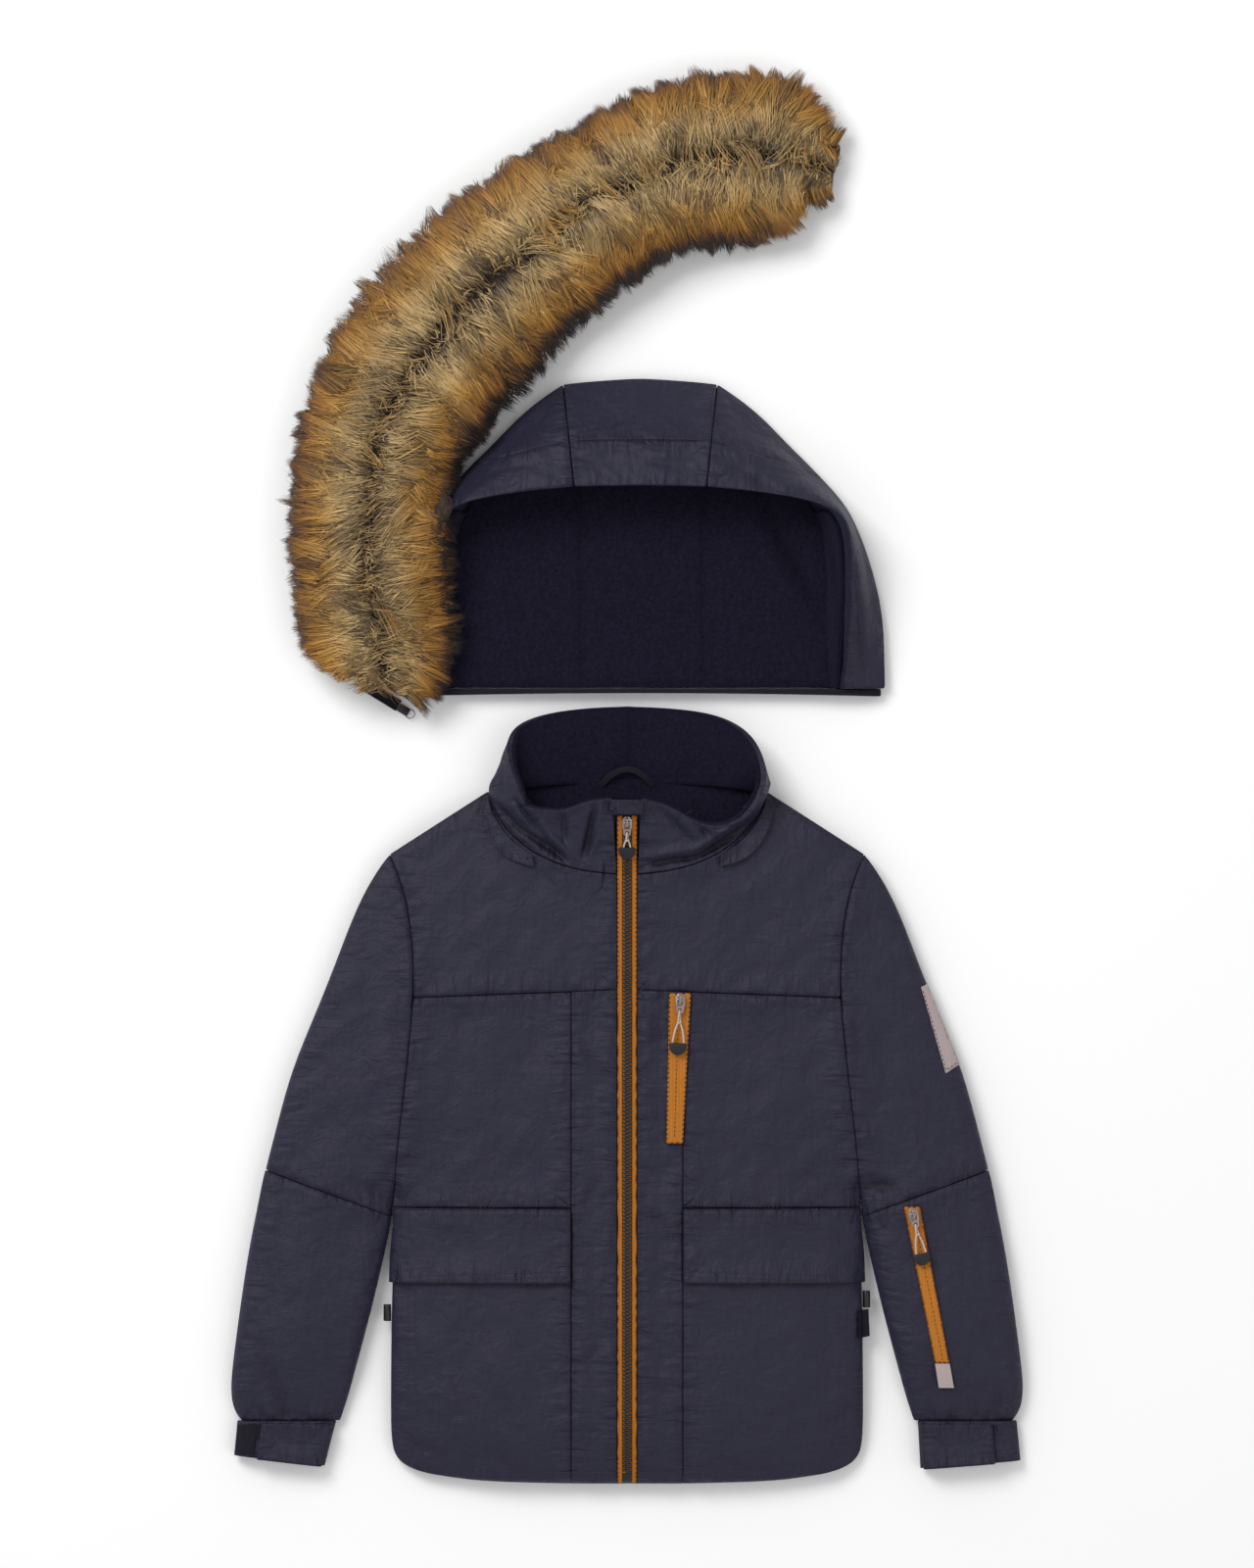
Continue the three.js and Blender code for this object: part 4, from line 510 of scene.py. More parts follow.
# Small crumples, about 14 mm across with finer ones in them, which the wadding behind leaves all
# over the cloth.
crumple = add_node(navy_taslan, "TexNoise", values={"Scale": 70.0, "Detail": 3.0, "Roughness": 0.55,
                                                   "Distortion": 0.7}, links={"Vector": cloth_place})
crumple_bump = add_node(navy_taslan, "Bump", values={"Strength": 0.8, "Distance": 0.0026},
                        links={"Height": crumple.outputs["Fac"], "Normal": pucker_bump.outputs["Normal"]})
weave_bump = add_node(navy_taslan, "Bump", values={"Strength": 0.5, "Distance": 0.00008},
                      links={"Height": weave.outputs["Value"], "Normal": crumple_bump.outputs["Normal"]})
feed(navy_taslan, weave_bump.outputs["Normal"], taslan_shader, "Normal")

SHELL_LEVELS = {
    "back": 1, "front_centre_L": 3, "front_centre_R": 3, "front_side_L": 3, "front_side_R": 3,
    "front_yoke_L": 3, "front_yoke_R": 3, "pocket_L": 2, "pocket_R": 2, "pocket_flap_L": 2,
    "pocket_flap_R": 2, "sleeve_upper_L": 2, "sleeve_upper_R": 2, "sleeve_lower_L": 2,
    "sleeve_lower_R": 2,
}
for node, levels in SHELL_LEVELS.items():
    padded_piece(node, levels, navy_taslan, "shell")


def laid_strip(name, rows, thick, levels=1):
    """A thin strip of cloth through rows of points in mm, given across it, closed all round."""
    across = len(rows[0])
    points = [(x / 1000, y / 1000, z / 1000) for row in rows for x, y, z in row]
    faces = [(r * across + c, r * across + c + 1, (r + 1) * across + c + 1, (r + 1) * across + c)
             for r in range(len(rows) - 1) for c in range(across - 1)]
    mesh = bpy.data.meshes.new(name)
    mesh.from_pydata(points, [], faces)
    strip = new_object(name, mesh)
    select_only(strip)
    bpy.ops.object.mode_set(mode="EDIT")
    bpy.ops.mesh.select_all(action="SELECT")
    bpy.ops.mesh.normals_make_consistent(inside=False)
    bpy.ops.object.mode_set(mode="OBJECT")
    if sum(face.normal.z for face in mesh.polygons) < 0:
        mesh.flip_normals()
    wall = strip.modifiers.new("wall", "SOLIDIFY")
    wall.thickness, wall.offset = thick, -1.0
    bpy.ops.object.modifier_apply(modifier="wall")
    subdivide(strip, levels)
    return strip


# The seam allowance of each shoulder: the turned-in edges of the yoke and the sleeve, seen only
# down the end of the armhole seam.
for side, tag in ((-1, "L"), (1, "R")):
    allowance = laid_strip("shoulder_seam_allowance_" + tag, [
        [(side * 181, -55, 12), (side * 189, -60, 11)], [(side * 175, -66, 14), (side * 184, -71, 13)],
        [(side * 170, -79, 17), (side * 178, -82, 16)]], 0.0012)
    allowance.data.materials.append(navy_taslan)
    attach(allowance, "jacket")

# ---------- cuffs ----------
# Elasticated cuffs of the same cloth, sewn to the sleeve ends and gathered there, with a flat
# tab and a patch of hook tape that narrow them round the wrist.
for node in ("cuff_L", "cuff_R"):
    padded_piece(node, 2, navy_taslan, "shell", swell=0.0004, pucker=0.0006, spacing=0.007)
for node in ("cuff_tab_L", "cuff_tab_R"):
    padded_piece(node, 2, navy_taslan, "shell", swell=0.0002, pucker=0.0002)

# ---------- collar ----------
# A stand-up collar folded open: an outer shell of the navy nylon with a brushed fleece lining, a
# hanger loop in the neck seam, and a flap each side that hides the zip of the hood.
for node in ("collar_shell", "neck_flap_L", "neck_flap_R"):
    padded_piece(node, 4 if node == "collar_shell" else 3, navy_taslan, "shell", swell=0.0009, thin=True)

# Brushed fleece: knitted polyester with a raised pile, dull and soft, darker than the shell. The
# pile's tufts are about 2.5 mm across.
brushed_fleece, fleece_shader = start_finish(
    "brushed_polyester_fleece", Roughness=0.95, Specular_IOR_Level=0.1, Sheen_Weight=0.08,
    Sheen_Roughness=0.6)
fleece_shader.inputs["Sheen Tint"].default_value = linear("#8a86b8")
fleece_place = object_place(brushed_fleece)
pile = add_node(brushed_fleece, "TexNoise", values={"Scale": 400.0, "Detail": 4.0, "Roughness": 0.8},
                links={"Vector": fleece_place})
pile_tone = tone_ramp(brushed_fleece, pile.outputs["Fac"], "#08060f", "#201d30", 0.3, 0.7)
# Seams deepen the fleece's dye and folds get painted shade, as on the shell.
fleece_seam_and_fold_shaded_tone = shade_by(brushed_fleece, "seam_dye_and_fold_shade", "#9a9aa6", pile_tone)
feed(brushed_fleece, fleece_seam_and_fold_shaded_tone, fleece_shader, "Base Color")
feed_bump(brushed_fleece, fleece_shader, pile.outputs["Fac"], 1.0, 0.0016)
padded_piece("collar_lining", 2, brushed_fleece, "fleece", swell=0.0014, pucker=0.0003, thin=True,
             grooves=(((1.5, 60), (1.5, 0), 0.9, 1.6),))

# Inside the neck the back is lined with the same fleece, up to the seam that joins the collar.
neck_form = BVHTree.FromObject(bpy.data.objects["back_cloth"], bpy.context.evaluated_depsgraph_get())
neck_rows = []
for y in (-46, -30, -16, -8, -3, 1.5):
    row = []
    for x in range(-96, 100, 8):
        over = Vector((x / 1000, min(y, -10) / 1000, ABOVE))
        found = neck_form.ray_cast(over, DOWN)[0]
        if found is None:
            found = neck_form.find_nearest(Vector((over.x, over.y, 0.02)))[0]
        row.append((x, y, found.z * 1000 + 0.9 + 0.5 * math.sin(x * 0.21 + y * 0.3)))
    neck_rows.append(row)
neck_lining = laid_strip("back_neck_lining", neck_rows, 0.0008, levels=2)
neck_lining.data.materials.append(brushed_fleece)
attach(neck_lining, "jacket")

# Woven polyester binding, matt and very dark, with ribs 0.7 mm apart. It edges the hood's neck, and
# makes the hanger loop, the side seam's tag, the fur's zip tape and the cuff's patch.
navy_binding, binding_shader = start_finish("woven_dark_navy_binding", Roughness=0.8,
                                            Specular_IOR_Level=0.2)
binding_place = object_place(navy_binding)
binding_ribs = add_node(navy_binding, "TexWave", settings={"bands_direction": "DIAGONAL"},
                        values={"Scale": 0.314 / 0.0007, "Distortion": 0.8}, links={"Vector": binding_place})
binding_tone = tone_ramp(navy_binding, binding_ribs.outputs["Fac"], "#0f0e16", "#1a1925")
feed(navy_binding, binding_tone, binding_shader, "Base Color")
feed_bump(navy_binding, binding_shader, binding_ribs.outputs["Fac"], 0.5, 0.0002)
hanger = copy_of("hanger_loop", "hanger_ribbon")
crease_rims(hanger, 0.9)
subdivide(hanger, 2)
hanger.data.materials.append(navy_binding)
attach(hanger, "jacket")
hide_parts("hanger_loop")

# ---------- hood ----------
# The hood has a wide middle panel from the neck over the crown to the brim, a shaped panel each
# side of it, a quilted brim, a fleece lining and a bound neck edge with its own zip.
# A quilted line runs along beside the brim, and two seams run down the lining, as (start, end, depth).
BRIM_LINES = {
    "hood_centre": [((-50, 262), (70, 262), 1.6)],
    "hood_side_L": [((-115, 246), (-46, 262), 1.4)],
    "hood_side_R": [((64, 262), (150, 238), 1.4)],
    "hood_back": [],
}
LINING_SEAMS = [((-36.5, 74), (-36.5, 230), 1.6), ((58.5, 74), (58.5, 230), 1.6)]
for node, lines in BRIM_LINES.items():
    levels = 3 if node in ("hood_centre", "hood_side_R") else 2
    padded_piece(node, levels, navy_taslan, "shell", grooves=lines)
padded_piece("hood_neck_band", 2, navy_binding, "binding", swell=0.0002, pucker=0.0003)
padded_piece("hood_lining", 2, brushed_fleece, "fleece", swell=0.0012, pucker=0.0004, thin=True,
             grooves=LINING_SEAMS)

# ---------- main zip ----------
# A separating zip of moulded plastic teeth on woven orange tape, sewn in from hem to collar. The
# teeth stand 3 mm apart on each tape and mesh in the middle, and a tab of cloth covers the top.
woven_tape, tape_shader = start_finish("woven_orange_polyester_tape", Roughness=0.8,
                                       Specular_IOR_Level=0.25)
tape_place = object_place(woven_tape)
tape_ribs = add_node(woven_tape, "TexWave", settings={"bands_direction": "X"},
                     values={"Scale": 0.314 / 0.0011, "Distortion": 0.5, "Detail": 1.0},
                     links={"Vector": tape_place})
tape_fleck = add_node(woven_tape, "TexNoise", values={"Scale": 700.0, "Detail": 2.0},
                      links={"Vector": tape_place})
tape_mix = add_node(woven_tape, "Math", settings={"operation": "MULTIPLY"},
                    links={0: tape_ribs.outputs["Fac"], 1: tape_fleck.outputs["Fac"]})
tape_tone = tone_ramp(woven_tape, tape_mix.outputs["Value"], "#9b5b18", "#c27b2a", 0.0, 0.5)
# The tape's outer edges turn under the cloth and lie in its shade.
edge_tone = shade_by(woven_tape, "tape_edge", "#4a3a36", tape_tone)
feed(woven_tape, edge_tone, tape_shader, "Base Color")
feed_bump(woven_tape, tape_shader, tape_mix.outputs["Value"], 0.5, 0.0002)

# Acetal teeth, moulded black with a slight gloss.
moulded_acetal, acetal_shader = start_finish(
    "moulded_black_acetal", Base_Color=linear("#0d0c11"), Roughness=0.32)
acetal_grain = add_node(moulded_acetal, "TexNoise", values={"Scale": 1500.0},
                        links={"Vector": object_place(moulded_acetal)})
feed_roughness(moulded_acetal, acetal_shader, acetal_grain.outputs["Fac"], 0.26, 0.42)


def finish_node(node, finish):
    """Gives a solid that keeps its shape its real finish."""
    frame["nodes"][node].data.materials.clear()
    frame["nodes"][node].data.materials.append(finish)


finish_node("zip_chain", woven_tape)
# The half width inside which a tape's rim is not an outer edge.
for node, inner in {"zip_tape_L": 0.0055, "zip_tape_R": 0.0055, "chest_zip_tape": 0.0,
                    "sleeve_zip_tape": 0.0}.items():
    tape = copy_of(node, node + "_woven")
    rim = [spot for spot in crease_rims(tape, 1.0) if abs(spot[0][0]) > inner]
    subdivide(tape, 3)
    to_edge = distance_to(read_points(tape), rim)[0]
    tape.data.attributes.new("tape_edge", "FLOAT", "POINT").data.foreach_set(
        "value", np.clip(1.5 - to_edge / 0.0011, 0, 1))
    tape.data.materials.append(woven_tape)
    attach(tape, "jacket")
    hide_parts(node)


def form_of(*nodes):
    """The surface of some solids of the frame, to lay finer pieces on."""
    points, faces = [], []
    for node in nodes:
        mesh = frame["nodes"][node].data
        faces += [[i + len(points) for i in f.vertices] for f in mesh.polygons]
        points += [v.co.copy() for v in mesh.vertices]
    return BVHTree.FromPolygons(points, faces)


def height_on(form, x, y):
    place = form.ray_cast(Vector((x, y, ABOVE)), DOWN)[0]
    return None if place is None else place.z


def copies_of(name, pattern, places):
    """One mesh with a copy of the pattern at each place, a matrix."""
    points = read_points(pattern)
    faces = [tuple(f.vertices) for f in pattern.data.polygons]
    whole_points, whole_faces = [], []
    for place in places:
        turn = np.array(place)
        first = len(points) * (len(whole_faces) // len(faces))
        whole_points += (points @ turn[:3, :3].T + turn[:3, 3]).tolist()
        whole_faces += [tuple(i + first for i in f) for f in faces]
    mesh = bpy.data.meshes.new(name)
    mesh.from_pydata(whole_points, [], whole_faces)
    mesh.shade_smooth()
    whole = new_object(name, mesh)
    bpy.data.objects.remove(pattern)
    return whole


TOOTH_PITCH = 0.003
TOOTH = {"reach": 0.0042, "wide": 0.0022, "high": 0.0024, "outer": 0.0034}
bpy.ops.object.select_all(action="DESELECT")
bpy.ops.mesh.primitive_cube_add(size=1, location=(0, 0, 0))
tooth = bpy.context.object
bpy.ops.object.mode_set(mode="EDIT")
bpy.ops.transform.resize(value=(TOOTH["reach"], TOOTH["wide"], TOOTH["high"]))
bpy.ops.mesh.bevel(offset=0.0004, segments=1, affect="EDGES")
bpy.ops.object.mode_set(mode="OBJECT")
for corner in tooth.data.vertices:
    # The head that meshes is a little narrower at the neck and sits towards the middle.
    corner.co.y *= 1.0 if corner.co.x < 0 else 0.72
    corner.co.x -= TOOTH["outer"] - TOOTH["reach"] / 2
chain_form = form_of("zip_chain")
chain_low, chain_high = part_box("zip_chain")
places = []
rows = int((chain_high[1] - chain_low[1]) / (TOOTH_PITCH / 2)) - 1
for row in range(rows):
    y = chain_low[1] + 0.001 + row * TOOTH_PITCH / 2
    z, ahead = height_on(chain_form, 0.0, y), height_on(chain_form, 0.0, y + 0.001)
    if z is None or ahead is None:
        continue
    side = Matrix.Rotation(0 if row % 2 else math.pi, 4, "Z")
    lean = Matrix.Rotation(math.atan2(ahead - z, 0.001), 4, "X")
    places.append(Matrix.Translation((0, y, z + 0.0004)) @ lean @ side)
teeth = copies_of("main_zip_teeth", tooth, places)
teeth.data.materials.append(moulded_acetal)
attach(teeth, "jacket")
padded_piece("zip_garage", 2, navy_taslan, "shell", swell=0.0002, pucker=0.0004, spacing=0.008)

# ---------- sliders and pull tabs ----------
# Die-cast zinc, plated with a warm pinkish nickel: smooth, softly shiny, with fine tumbling marks.
# Each slider's base stands on its chain and its tab swings in the crown.
plated_nickel, nickel_shader = start_finish(
    "plated_warm_nickel", Base_Color=linear("#9d8f8b"), Metallic=1.0, Roughness=0.3)
tumbling = add_node(plated_nickel, "TexNoise", values={"Scale": 900.0, "Detail": 3.0},
                    links={"Vector": object_place(plated_nickel)})
feed_roughness(plated_nickel, nickel_shader, tumbling.outputs["Fac"], 0.24, 0.42)
feed_bump(plated_nickel, nickel_shader, tumbling.outputs["Fac"], 0.25, 0.0001)


def rounded_piece(node, body, finish, edge):
    """A finer copy of a small hard solid, its edges rounded over."""
    piece = copy_of(node, node + "_finished")
    rounding = piece.modifiers.new("rounding", "BEVEL")
    rounding.width = edge
    rounding.segments = 2
    rounding.limit_method = "ANGLE"
    rounding.angle_limit = math.radians(35)
    rounding.harden_normals = False
    bpy.ops.object.modifier_apply(modifier="rounding")
    bpy.ops.object.shade_smooth_by_angle(angle=math.radians(45))
    piece.data.materials.append(finish)
    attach(piece, body)
    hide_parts(node)
    return piece


for node, body in {
        "zip_slider": "jacket", "main_pull_tab": "main_pull", "chest_zip_slider": "jacket",
        "chest_pull_tab": "chest_pull", "sleeve_zip_slider": "jacket",
        "sleeve_pull_tab": "sleeve_pull"}.items():
    rounded_piece(node, body, plated_nickel, 0.0003)
finish_node("zip_stop", moulded_acetal)

# The fur's own zip is small and dark: black-plated zinc, with a round wire ring as its pull.
black_plating, black_shader = start_finish(
    "black_plated_zinc", Base_Color=linear("#3b3a40"), Metallic=1.0, Roughness=0.34)
plating_grain = add_node(black_plating, "TexNoise", values={"Scale": 900.0, "Detail": 2.0},
                         links={"Vector": object_place(black_plating)})
feed_roughness(black_plating, black_shader, plating_grain.outputs["Fac"], 0.28, 0.45)
for node in ("trim_slider", "trim_pin"):
    rounded_piece(node, "jacket", black_plating, 0.0003)
ring = copy_of("trim_ring", "trim_ring_wire")
subdivide(ring, 2)
ring.data.materials.append(black_plating)
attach(ring, "ring_pull")
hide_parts("trim_ring")
finish_node("trim_tape", navy_binding)

# ---------- grips ----------
# A grip of soft navy rubber is moulded over the ends of each pull cord: flat across its top and
# round below, a little thinner towards the rim. Its face is left plain.
moulded_rubber, rubber_shader = start_finish(
    "moulded_navy_rubber", Base_Color=linear("#14141c"), Roughness=0.5, Specular_IOR_Level=0.4)
rubber_grain = add_node(moulded_rubber, "TexNoise", values={"Scale": 1200.0, "Detail": 2.0},
                        links={"Vector": object_place(moulded_rubber)})
feed_bump(moulded_rubber, rubber_shader, rubber_grain.outputs["Fac"], 0.3, 0.0001)
GRIP = {"half": 0.0066, "deep": 0.0093, "thick": 0.0026, "corner": 0.0012}


def shaped_grip(name, top):
    """A grip in its pull's own frame, hanging from y = top: an outline filled, thickened and bevelled."""
    half, deep = GRIP["half"], GRIP["deep"]
    outline = [(-half * 0.86, 0.0), (-half, -GRIP["corner"])]
    round_from, steps = 0.28 * deep, 14
    for step in range(steps + 1):
        turn = math.pi * (1 + step / steps)
        outline.append((half * math.cos(turn), -round_from + (deep - round_from) * math.sin(turn)))
    outline += [(half, -GRIP["corner"]), (half * 0.86, 0.0)]
    mesh = bpy.data.meshes.new(name)
    mesh.from_pydata([(x, top + y, -GRIP["thick"] / 2) for x, y in outline], [], [range(len(outline))])
    grip = new_object(name, mesh)
    select_only(grip)
    bpy.ops.object.mode_set(mode="EDIT")
    bpy.ops.mesh.select_all(action="SELECT")
    bpy.ops.mesh.extrude_region_move(TRANSFORM_OT_translate={"value": (0, 0, GRIP["thick"])})
    bpy.ops.mesh.select_all(action="SELECT")
    bpy.ops.mesh.normals_make_consistent(inside=False)
    bpy.ops.object.mode_set(mode="OBJECT")
    edge = grip.modifiers.new("edge", "BEVEL")
    edge.width, edge.segments = 0.0007, 3
    edge.limit_method, edge.angle_limit = "ANGLE", math.radians(50)
    bpy.ops.object.modifier_apply(modifier="edge")
    bpy.ops.object.shade_smooth_by_angle(angle=math.radians(50))
    return grip


for pull, facts in PULLS.items():
    grip = shaped_grip(pull + "_moulded_grip", facts["grip"])
    grip.data.transform(facts["frame"])
    grip.data.materials.append(moulded_rubber)
    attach(grip, pull)
    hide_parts(pull + "_grip")

# ---------- sleeve label ----------
# A blank label of pale grey coated cloth, laid over the outer edge of the sleeve and sewn all round.
coated_label, label_shader = start_finish(
    "coated_grey_label_cloth", Roughness=0.55, Specular_IOR_Level=0.3)
label_place = object_place(coated_label)
label_weave = add_node(coated_label, "TexNoise", values={"Scale": 800.0, "Detail": 3.0},
                       links={"Vector": label_place})
label_tone = tone_ramp(coated_label, label_weave.outputs["Fac"], "#9d8f8f", "#b3a4a3")
feed(coated_label, label_tone, label_shader, "Base Color")
feed_bump(coated_label, label_shader, label_weave.outputs["Fac"], 0.3, 0.0001)


def surface_of(name):
    return BVHTree.FromObject(bpy.data.objects[name], bpy.context.evaluated_depsgraph_get())


LABEL_LIFT = 0.0007
sleeve_surface = surface_of("sleeve_upper_R_cloth")
label = copy_of("sleeve_label", "sleeve_label_cloth")
crease_rims(label, 1.0)
subdivide(label, 2)
points = read_points(label)
for index, (place, normal) in enumerate(zip(read_points(label), read_normals(label))):
    # The label follows the sleeve down over its edge and stands just off it.
    probe = Vector((place[0], place[1], ABOVE))
    found, facing = sleeve_surface.ray_cast(probe, DOWN)[:2]
    if found is None or facing.z < 0.35:
        beneath = Vector((place[0] - 0.001, place[1], place[2] - 0.004))
        found, facing = sleeve_surface.find_nearest(beneath)[:2]
    points[index] = found + facing * (LABEL_LIFT if normal[2] > 0 else 0.0001)
label.data.vertices.foreach_set("co", points.ravel())
label.data.materials.append(coated_label)
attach(label, "jacket")
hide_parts("sleeve_label")
finish_node("sleeve_zip_end", coated_label)

# ---------- tag, cord locks and hook patch ----------
# A woven tag hangs in the right side seam over a barrel cord lock, with one more lock in the left
# seam, and the left cuff shows its patch of hook tape.
for node in ("side_tag_R", "cuff_patch_L"):
    finish_node(node, navy_binding)
for node in ("side_toggle_L", "side_toggle_R"):
    rounded_piece(node, "jacket", moulded_acetal, 0.0006)

# ---------- stitching ----------
# Lockstitch in navy thread beside the seams and along the pocket openings: each stitch is a short
# rounded length of thread, 2.6 mm long, that sinks into the cloth at its ends.
def sewing_thread(name, roughness, dark, light):
    """Thread twisted at every half millimetre."""
    thread, shader = start_finish(name, Roughness=roughness)
    twist = add_node(thread, "TexWave", settings={"bands_direction": "DIAGONAL"},
                     values={"Scale": 0.314 / 0.0005}, links={"Vector": object_place(thread)})
    feed(thread, tone_ramp(thread, twist.outputs["Fac"], dark, light), shader, "Base Color")
    return thread


navy_thread = sewing_thread("twisted_navy_sewing_thread", 0.5, "#14131f", "#2a2940")

# Each row: its points in mm from the middle line and up from the hem, mirrored where it says so.
STITCH_ROWS = {
    "yoke": ([(9, 381.2), (86, 379.6), (150, 376.6), (163, 374.2)], True),
    "centre_panel": ([(45.4, 14), (45.4, 150)], True),
    "centre_panel_high": ([(45.4, 222), (45.4, 378)], True),
    "pocket_top": ([(47, 217.4), (176, 213.6)], True),
    "pocket_flap_edge": ([(47, 162.4), (171, 158.6)], True),
    "pocket_flap_edge_inner": ([(47, 166.4), (171, 162.6)], True),
    "pocket_entry": ([(170, 152), (170.5, 90), (168, 40), (163, 22), (150, 19)], True),
    "pocket_entry_inner": ([(164, 152), (164.5, 90), (162.5, 44), (158, 29), (150, 26)], True),
    "hem": ([(10, 9.5), (90, 10.5), (130, 14), (160, 22)], True),
    "beside_zip": ([(10.6, 8), (10.6, 480)], True),
}
STITCH = {"long": 0.0026, "gap": 0.0008, "thick": 0.00032}


def even_places(route, step):
    """Points every step along a route on the table, with the direction there."""
    route = np.array(route)
    legs = np.linalg.norm(np.diff(route, axis=0), axis=1)
    marks = np.concatenate([[0], np.cumsum(legs)])
    far = np.arange(step / 2, marks[-1] - step / 4, step)
    x, y = (np.interp(far, marks, route[:, k]) for k in (0, 1))
    ahead_x, ahead_y = (np.interp(far + 0.0004, marks, route[:, k]) for k in (0, 1))
    return x, y, np.arctan2(ahead_y - y, ahead_x - x)


def sew(name, routes, cloths, finish=None):
    """Sews lockstitches along routes, lying on the named cloths."""
    bpy.ops.object.select_all(action="DESELECT")
    bpy.ops.mesh.primitive_cylinder_add(vertices=6, radius=STITCH["thick"], depth=STITCH["long"],
                                        end_fill_type="TRIFAN", rotation=(0, math.pi / 2, 0))
    bpy.ops.object.transform_apply(location=True, rotation=True, scale=True)
    stitch = bpy.context.object
    bpy.ops.object.mode_set(mode="EDIT")
    bpy.ops.mesh.select_all(action="SELECT")
    bpy.ops.mesh.bisect(plane_co=(0, 0, 0), plane_no=(1, 0, 0))
    bpy.ops.object.mode_set(mode="OBJECT")
    for corner in stitch.data.vertices:
        share = abs(corner.co.x) / (STITCH["long"] / 2)
        corner.co.y *= 1 - 0.35 * share
        corner.co.z = corner.co.z * (1 - 0.35 * share) + STITCH["thick"] * (0.9 - 1.5 * share ** 2)
    surfaces = [surface_of(cloth) for cloth in cloths]
    places = []
    for route in routes:
        for x, y, turn in zip(*even_places(route, STITCH["long"] + STITCH["gap"])):
            found = [height_on(surface, x, y) for surface in surfaces]
            found = [z for z in found if z is not None]
            if found:
                places.append(Matrix.Translation((x, y, max(found))) @ Matrix.Rotation(turn, 4, "Z"))
    sewn = copies_of(name, stitch, places)
    sewn.data.materials.append(finish or navy_thread)
    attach(sewn, "jacket")


FRONT_CLOTHS = [o.name for o in bpy.data.objects
                if o.name.startswith(("front_", "pocket_")) and o.name.endswith("_cloth")]
for name, (row, mirrored) in STITCH_ROWS.items():
    routes = [[garment_point(side * x, up) for x, up in row] for side in ((1, -1) if mirrored else (1,))]
    sew(name + "_stitches", routes, FRONT_CLOTHS)
hood_rows = [[(-50, 263.6), (68, 263.6)], [(-46.5, 232), (-46, 300)], [(66.5, 232), (66.5, 300)],
             [(66, 260.5), (148, 237)], [(-50, 258.6), (68, 258.6)]]
sew("hood_stitches", [[(x / 1000, y / 1000) for x, y in row] for row in hood_rows],
    ["hood_centre_cloth", "hood_side_L_cloth", "hood_side_R_cloth"])
cuff_rows = [[(-299, -518.5), (-238, -526.5)], [(238, -526.5), (299, -518.5)]]
sew("cuff_stitches", [[(x / 1000, y / 1000) for x, y in row] for row in cuff_rows],
    ["cuff_L_cloth", "cuff_R_cloth", "cuff_tab_L_cloth", "cuff_tab_R_cloth"])
label_row = [garment_point(x, up) for x, up in [(229.5, 383.5), (247.5, 321.5), (256, 327)]]
sew("label_stitches", [label_row], ["sleeve_label_cloth"])
# The chest and sleeve zips show only the back of their coil, a ridge with a line of brown stitches.
brown_thread = sewing_thread("twisted_brown_sewing_thread", 0.6, "#4a2b10", "#8a5520")
sew("chest_zip_stitches", [[(0.0398, -0.178), (0.0366, -0.279)]], ["chest_zip_tape_woven"], brown_thread)
sew("sleeve_zip_stitches", [[(0.2242, -0.346), (0.2446, -0.449)]], ["sleeve_zip_tape_woven"], brown_thread)

# ---------- fur trim ----------
# Fake fur of long acrylic hair on a knitted backing, folded over so that it parts along the middle
# and falls both ways. It is zipped to the hood's rim, and here half of it lies beside the hood.
# Its middle line on the table, with its width and its height above the table there, in mm.
FUR_LINE_MM = [
    (-180.1, 64.2, 50, 34), (-190, 97.7, 105, 50), (-195.3, 134.1, 116, 56), (-199.1, 188.1, 119, 58),
    (-195.3, 236.7, 122, 58), (-180.9, 286.1, 126, 58), (-152, 331.7, 137, 58), (-88.2, 397.9, 131, 56),
    (-36.5, 436.6, 121, 56), (1.1, 457.9, 119, 56), (40.3, 476.1, 124, 54), (96.2, 482.6, 127, 48),
    (133, 480, 92, 38), (161, 471.6, 30, 20)]
TRIMMED_END_MM = ((-206, 74.7), (-173, 54.5), 5.4)
BACKING_INSET = 0.007
TABLE_GAP = 0.004


def along_fur(share):
    """The middle line's point, direction and half width at shares of the way along it."""
    table = np.array(FUR_LINE_MM, float) / 1000
    step = np.clip(share, 0, 0.99999) * (len(table) - 1)
    first = step.astype(int)
    t = (step - first)[:, None]
    rows = [table[np.clip(first + k, 0, len(table) - 1)] for k in (-1, 0, 1, 2)]
    even = 0.5 * (2 * rows[1] + (rows[2] - rows[0]) * t
                  + (2 * rows[0] - 5 * rows[1] + 4 * rows[2] - rows[3]) * t ** 2
                  + (3 * rows[1] - rows[0] - 3 * rows[2] + rows[3]) * t ** 3)
    slope = 0.5 * ((rows[2] - rows[0]) + 2 * (2 * rows[0] - 5 * rows[1] + 4 * rows[2] - rows[3]) * t
                   + 3 * (3 * rows[1] - rows[0] - 3 * rows[2] + rows[3]) * t ** 2)
    direction = slope[:, :2] / np.linalg.norm(slope[:, :2], axis=1)[:, None]
    return even[:, :2], direction, even[:, 2] / 2


